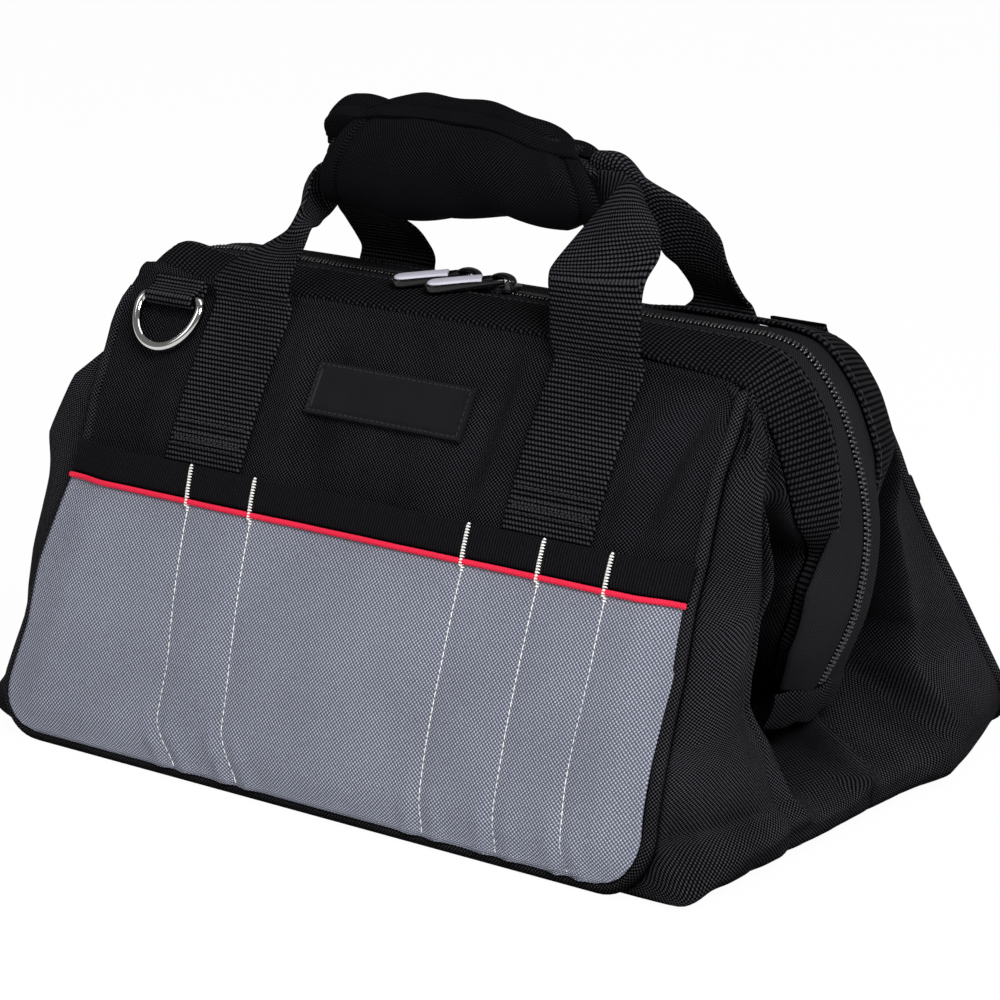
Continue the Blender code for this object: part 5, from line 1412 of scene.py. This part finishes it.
def make_pull(end):
    name = END_NAMES[end]
    lay = Matrix.Translation((SLIDER_X[end], 0, PULL_AXIS_Z)) @ Matrix.Rotation(PULL_TURN[end], 4, "Z")
    lay = lay @ Matrix.Rotation(-PULL_DROOP, 4, "Y")
    half = PULL_WIDTH / 2
    outline = tongue(0.0009, half, half - 0.0012, 10)
    body = [at_height(outline, z) for z in (-PULL_THICKNESS / 2, PULL_THICKNESS / 2)]
    obj = solid(name + "_pull_enamel", [body], ENAMEL)
    cutter = solid(name + "_pull_hole", [plate(0.0062, 0.0066, 0.02, 0.0014, (-0.0037, 0, 0))], ENAMEL)
    hole = obj.modifiers.new("hole", "BOOLEAN")
    hole.operation = "DIFFERENCE"
    hole.solver = "EXACT"
    hole.object = cutter
    bevel(obj, 0.0011, 5, 40)
    bpy.context.view_layer.update()
    mesh = bpy.data.meshes.new_from_object(obj.evaluated_get(bpy.context.evaluated_depsgraph_get()))
    obj.modifiers.clear()
    obj.data = mesh
    bpy.data.objects.remove(cutter)
    mesh.transform(lay)
    mesh.shade_smooth()
    mesh.set_sharp_from_angle(angle=math.radians(40))
    keep(obj, name + "_pull", "black_metal", name + "_pull")

    rings = []
    for inset, z in INLAY_RINGS:
        half = 0.0039 - inset
        rings.append(at_height(tongue(-0.0074 - inset, half, half, 12), PULL_THICKNESS / 2 - 0.0004 + z))
    obj = solid(name + "_pull_inlay", [rings], INLAY)
    obj.data.transform(lay)
    keep(obj, name + "_pull", "grey_rubber", name + "_pull_insert")


# Hidden pieces that stay as the CAD has them, with their finished materials
PLAIN_NODES = {
    "base_board": BOARD,
    "front_handle_core": WEBBING,
    "rear_handle_core": WEBBING,
    "grip_hook_strip": EDGE_TAPE,
    "grip_loop_strip": EDGE_TAPE,
    "base_panel": PAINTED_LIGHTER_SHELL_CLOTH,
}


def finish_cad_nodes():
    for name, material in PLAIN_NODES.items():
        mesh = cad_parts[name].data
        if not mesh.uv_layers:
            mesh.uv_layers.new(name="UVMap")
        layer = mesh.uv_layers[0]
        layer.name = "UVMap"
        for loop in mesh.loops:
            x, y, z = mesh.vertices[loop.vertex_index].co
            layer.data[loop.index].uv = (x, y + z)
        mesh.materials.clear()
        mesh.materials.append(material)


for WALL in (FRONT, REAR):
    make_wall(WALL)
    make_pocket(WALL)
    make_pocket_seams(WALL)
    make_piping(WALL)
    make_zipper(WALL)
    make_ring(WALL)
    for END in (-1, 1):
        make_gusset(END, WALL)
        make_strap(END, WALL)
for END in (-1, 1):
    make_tab(END)
    make_slider(END)
    make_pull(END)
padded_part("grip_pad", "handle", SEAM_TOP + 0.012, SEAM_FOOT - 0.01 + 2 * math.pi, 5)
padded_part("grip_flap", "grip_flap", SEAM_FOOT + 0.01, SEAM_TOP - 0.012, 8)
make_label()
finish_cad_nodes()

# Stage, lights and camera

WHITE = (1.0, 1.0, 1.0)
FLOOR_PAINT = (0.88, 0.88, 0.88)
FLOOR_HALF_SIZE = 6.0
FLOOR_Z = -0.0004
# How much of the floor shines by itself where it is seen, and how bright the world's light is
FLOOR_GLOW = 0.97
WORLD_LIGHT = 0.20
AIM = Vector((0.0, 0.0, 0.10))
# The camera as it was fitted to the photograph
AZIMUTH = math.radians(42.5622)
ELEVATION = math.radians(16.4713)
ROLL = math.radians(-3.0908)
DISTANCE = 1.6563
LOOKS_AT = Vector((0.0013, 0.0, 0.0905))
FOCAL_LENGTH_PIXELS = 4500.57
PICTURE_PIXELS = 1000
SENSOR_WIDTH = 36.0


def make_stage():
    """A floor and a world that are white where they are seen, and light the bag evenly."""
    s = Shader("white_floor")
    s.tree.nodes.remove(s.bsdf)
    path = s.add("ShaderNodeLightPath").outputs
    seen = s.math("MAXIMUM", path["Is Camera Ray"], path["Is Glossy Ray"])
    seen = s.math("MAXIMUM", seen, path["Is Transmission Ray"])
    glow = s.add("ShaderNodeEmission")
    s.feed(glow.inputs["Color"], WHITE)
    paint = s.add("ShaderNodeBsdfDiffuse")
    s.feed(paint.inputs["Color"], FLOOR_PAINT)
    both = s.add("ShaderNodeMixShader")
    s.feed(both.inputs[0], s.times(seen, FLOOR_GLOW))
    s.feed(both.inputs[1], paint.outputs[0])
    s.feed(both.inputs[2], glow.outputs[0])
    s.feed(s.tree.nodes["Material Output"].inputs["Surface"], both.outputs[0])
    size = FLOOR_HALF_SIZE
    points = [(-size, -size, 0), (size, -size, 0), (size, size, 0), (-size, size, 0)]
    floor = mesh_object("floor", points, [(0, 1, 2, 3)], None, s.material)
    floor.location.z = FLOOR_Z

    world = bpy.data.worlds.new("studio")
    bpy.context.scene.world = world
    w = Nodes(world)
    path = w.add("ShaderNodeLightPath").outputs
    seen = w.math("MAXIMUM", path["Is Camera Ray"], path["Is Transmission Ray"])
    background = w.tree.nodes["Background"]
    w.feed(background.inputs["Strength"], w.range(seen, 0.0, 1.0, WORLD_LIGHT, 1.0))
    w.feed(background.inputs["Color"], WHITE)


def lamp(name, place, size, power):
    data = bpy.data.lights.new(name, "AREA")
    data.shape = "RECTANGLE"
    data.size, data.size_y = size
    data.energy = power
    obj = bpy.data.objects.new(name, data)
    bpy.context.scene.collection.objects.link(obj)
    obj.location = place
    obj.rotation_mode = "QUATERNION"
    obj.rotation_quaternion = (AIM - Vector(place)).to_track_quat("-Z", "Y")


def make_camera():
    back = Vector((math.sin(AZIMUTH) * math.cos(ELEVATION), -math.cos(AZIMUTH) * math.cos(ELEVATION),
                   math.sin(ELEVATION)))
    right = (-back).cross(Vector((0, 0, 1))).normalized()
    up = right.cross(-back)
    x_axis = math.cos(ROLL) * right + math.sin(ROLL) * up
    y_axis = math.cos(ROLL) * up - math.sin(ROLL) * right
    data = bpy.data.cameras.new("camera")
    data.sensor_width = SENSOR_WIDTH
    data.lens = FOCAL_LENGTH_PIXELS * SENSOR_WIDTH / PICTURE_PIXELS
    data.clip_start, data.clip_end = 0.05, 50
    camera = bpy.data.objects.new("camera", data)
    bpy.context.scene.collection.objects.link(camera)
    axes = zip(x_axis, y_axis, back, LOOKS_AT + back * DISTANCE)
    camera.matrix_world = Matrix((*axes, (0, 0, 0, 1)))
    bpy.context.scene.camera = camera


make_stage()
lamp("key", (1.60, -0.78, 1.50), (0.8, 0.8), 53.0)
lamp("front", (-0.7, -1.7, 1.3), (1.2, 0.9), 9.0)
lamp("top", (0.1, 0.4, 2.0), (1.4, 1.0), 10.0)
lamp("side", (1.7, 1.1, 1.2), (0.8, 0.8), 4.0)
make_camera()
bpy.context.scene.view_settings.view_transform = "Standard"
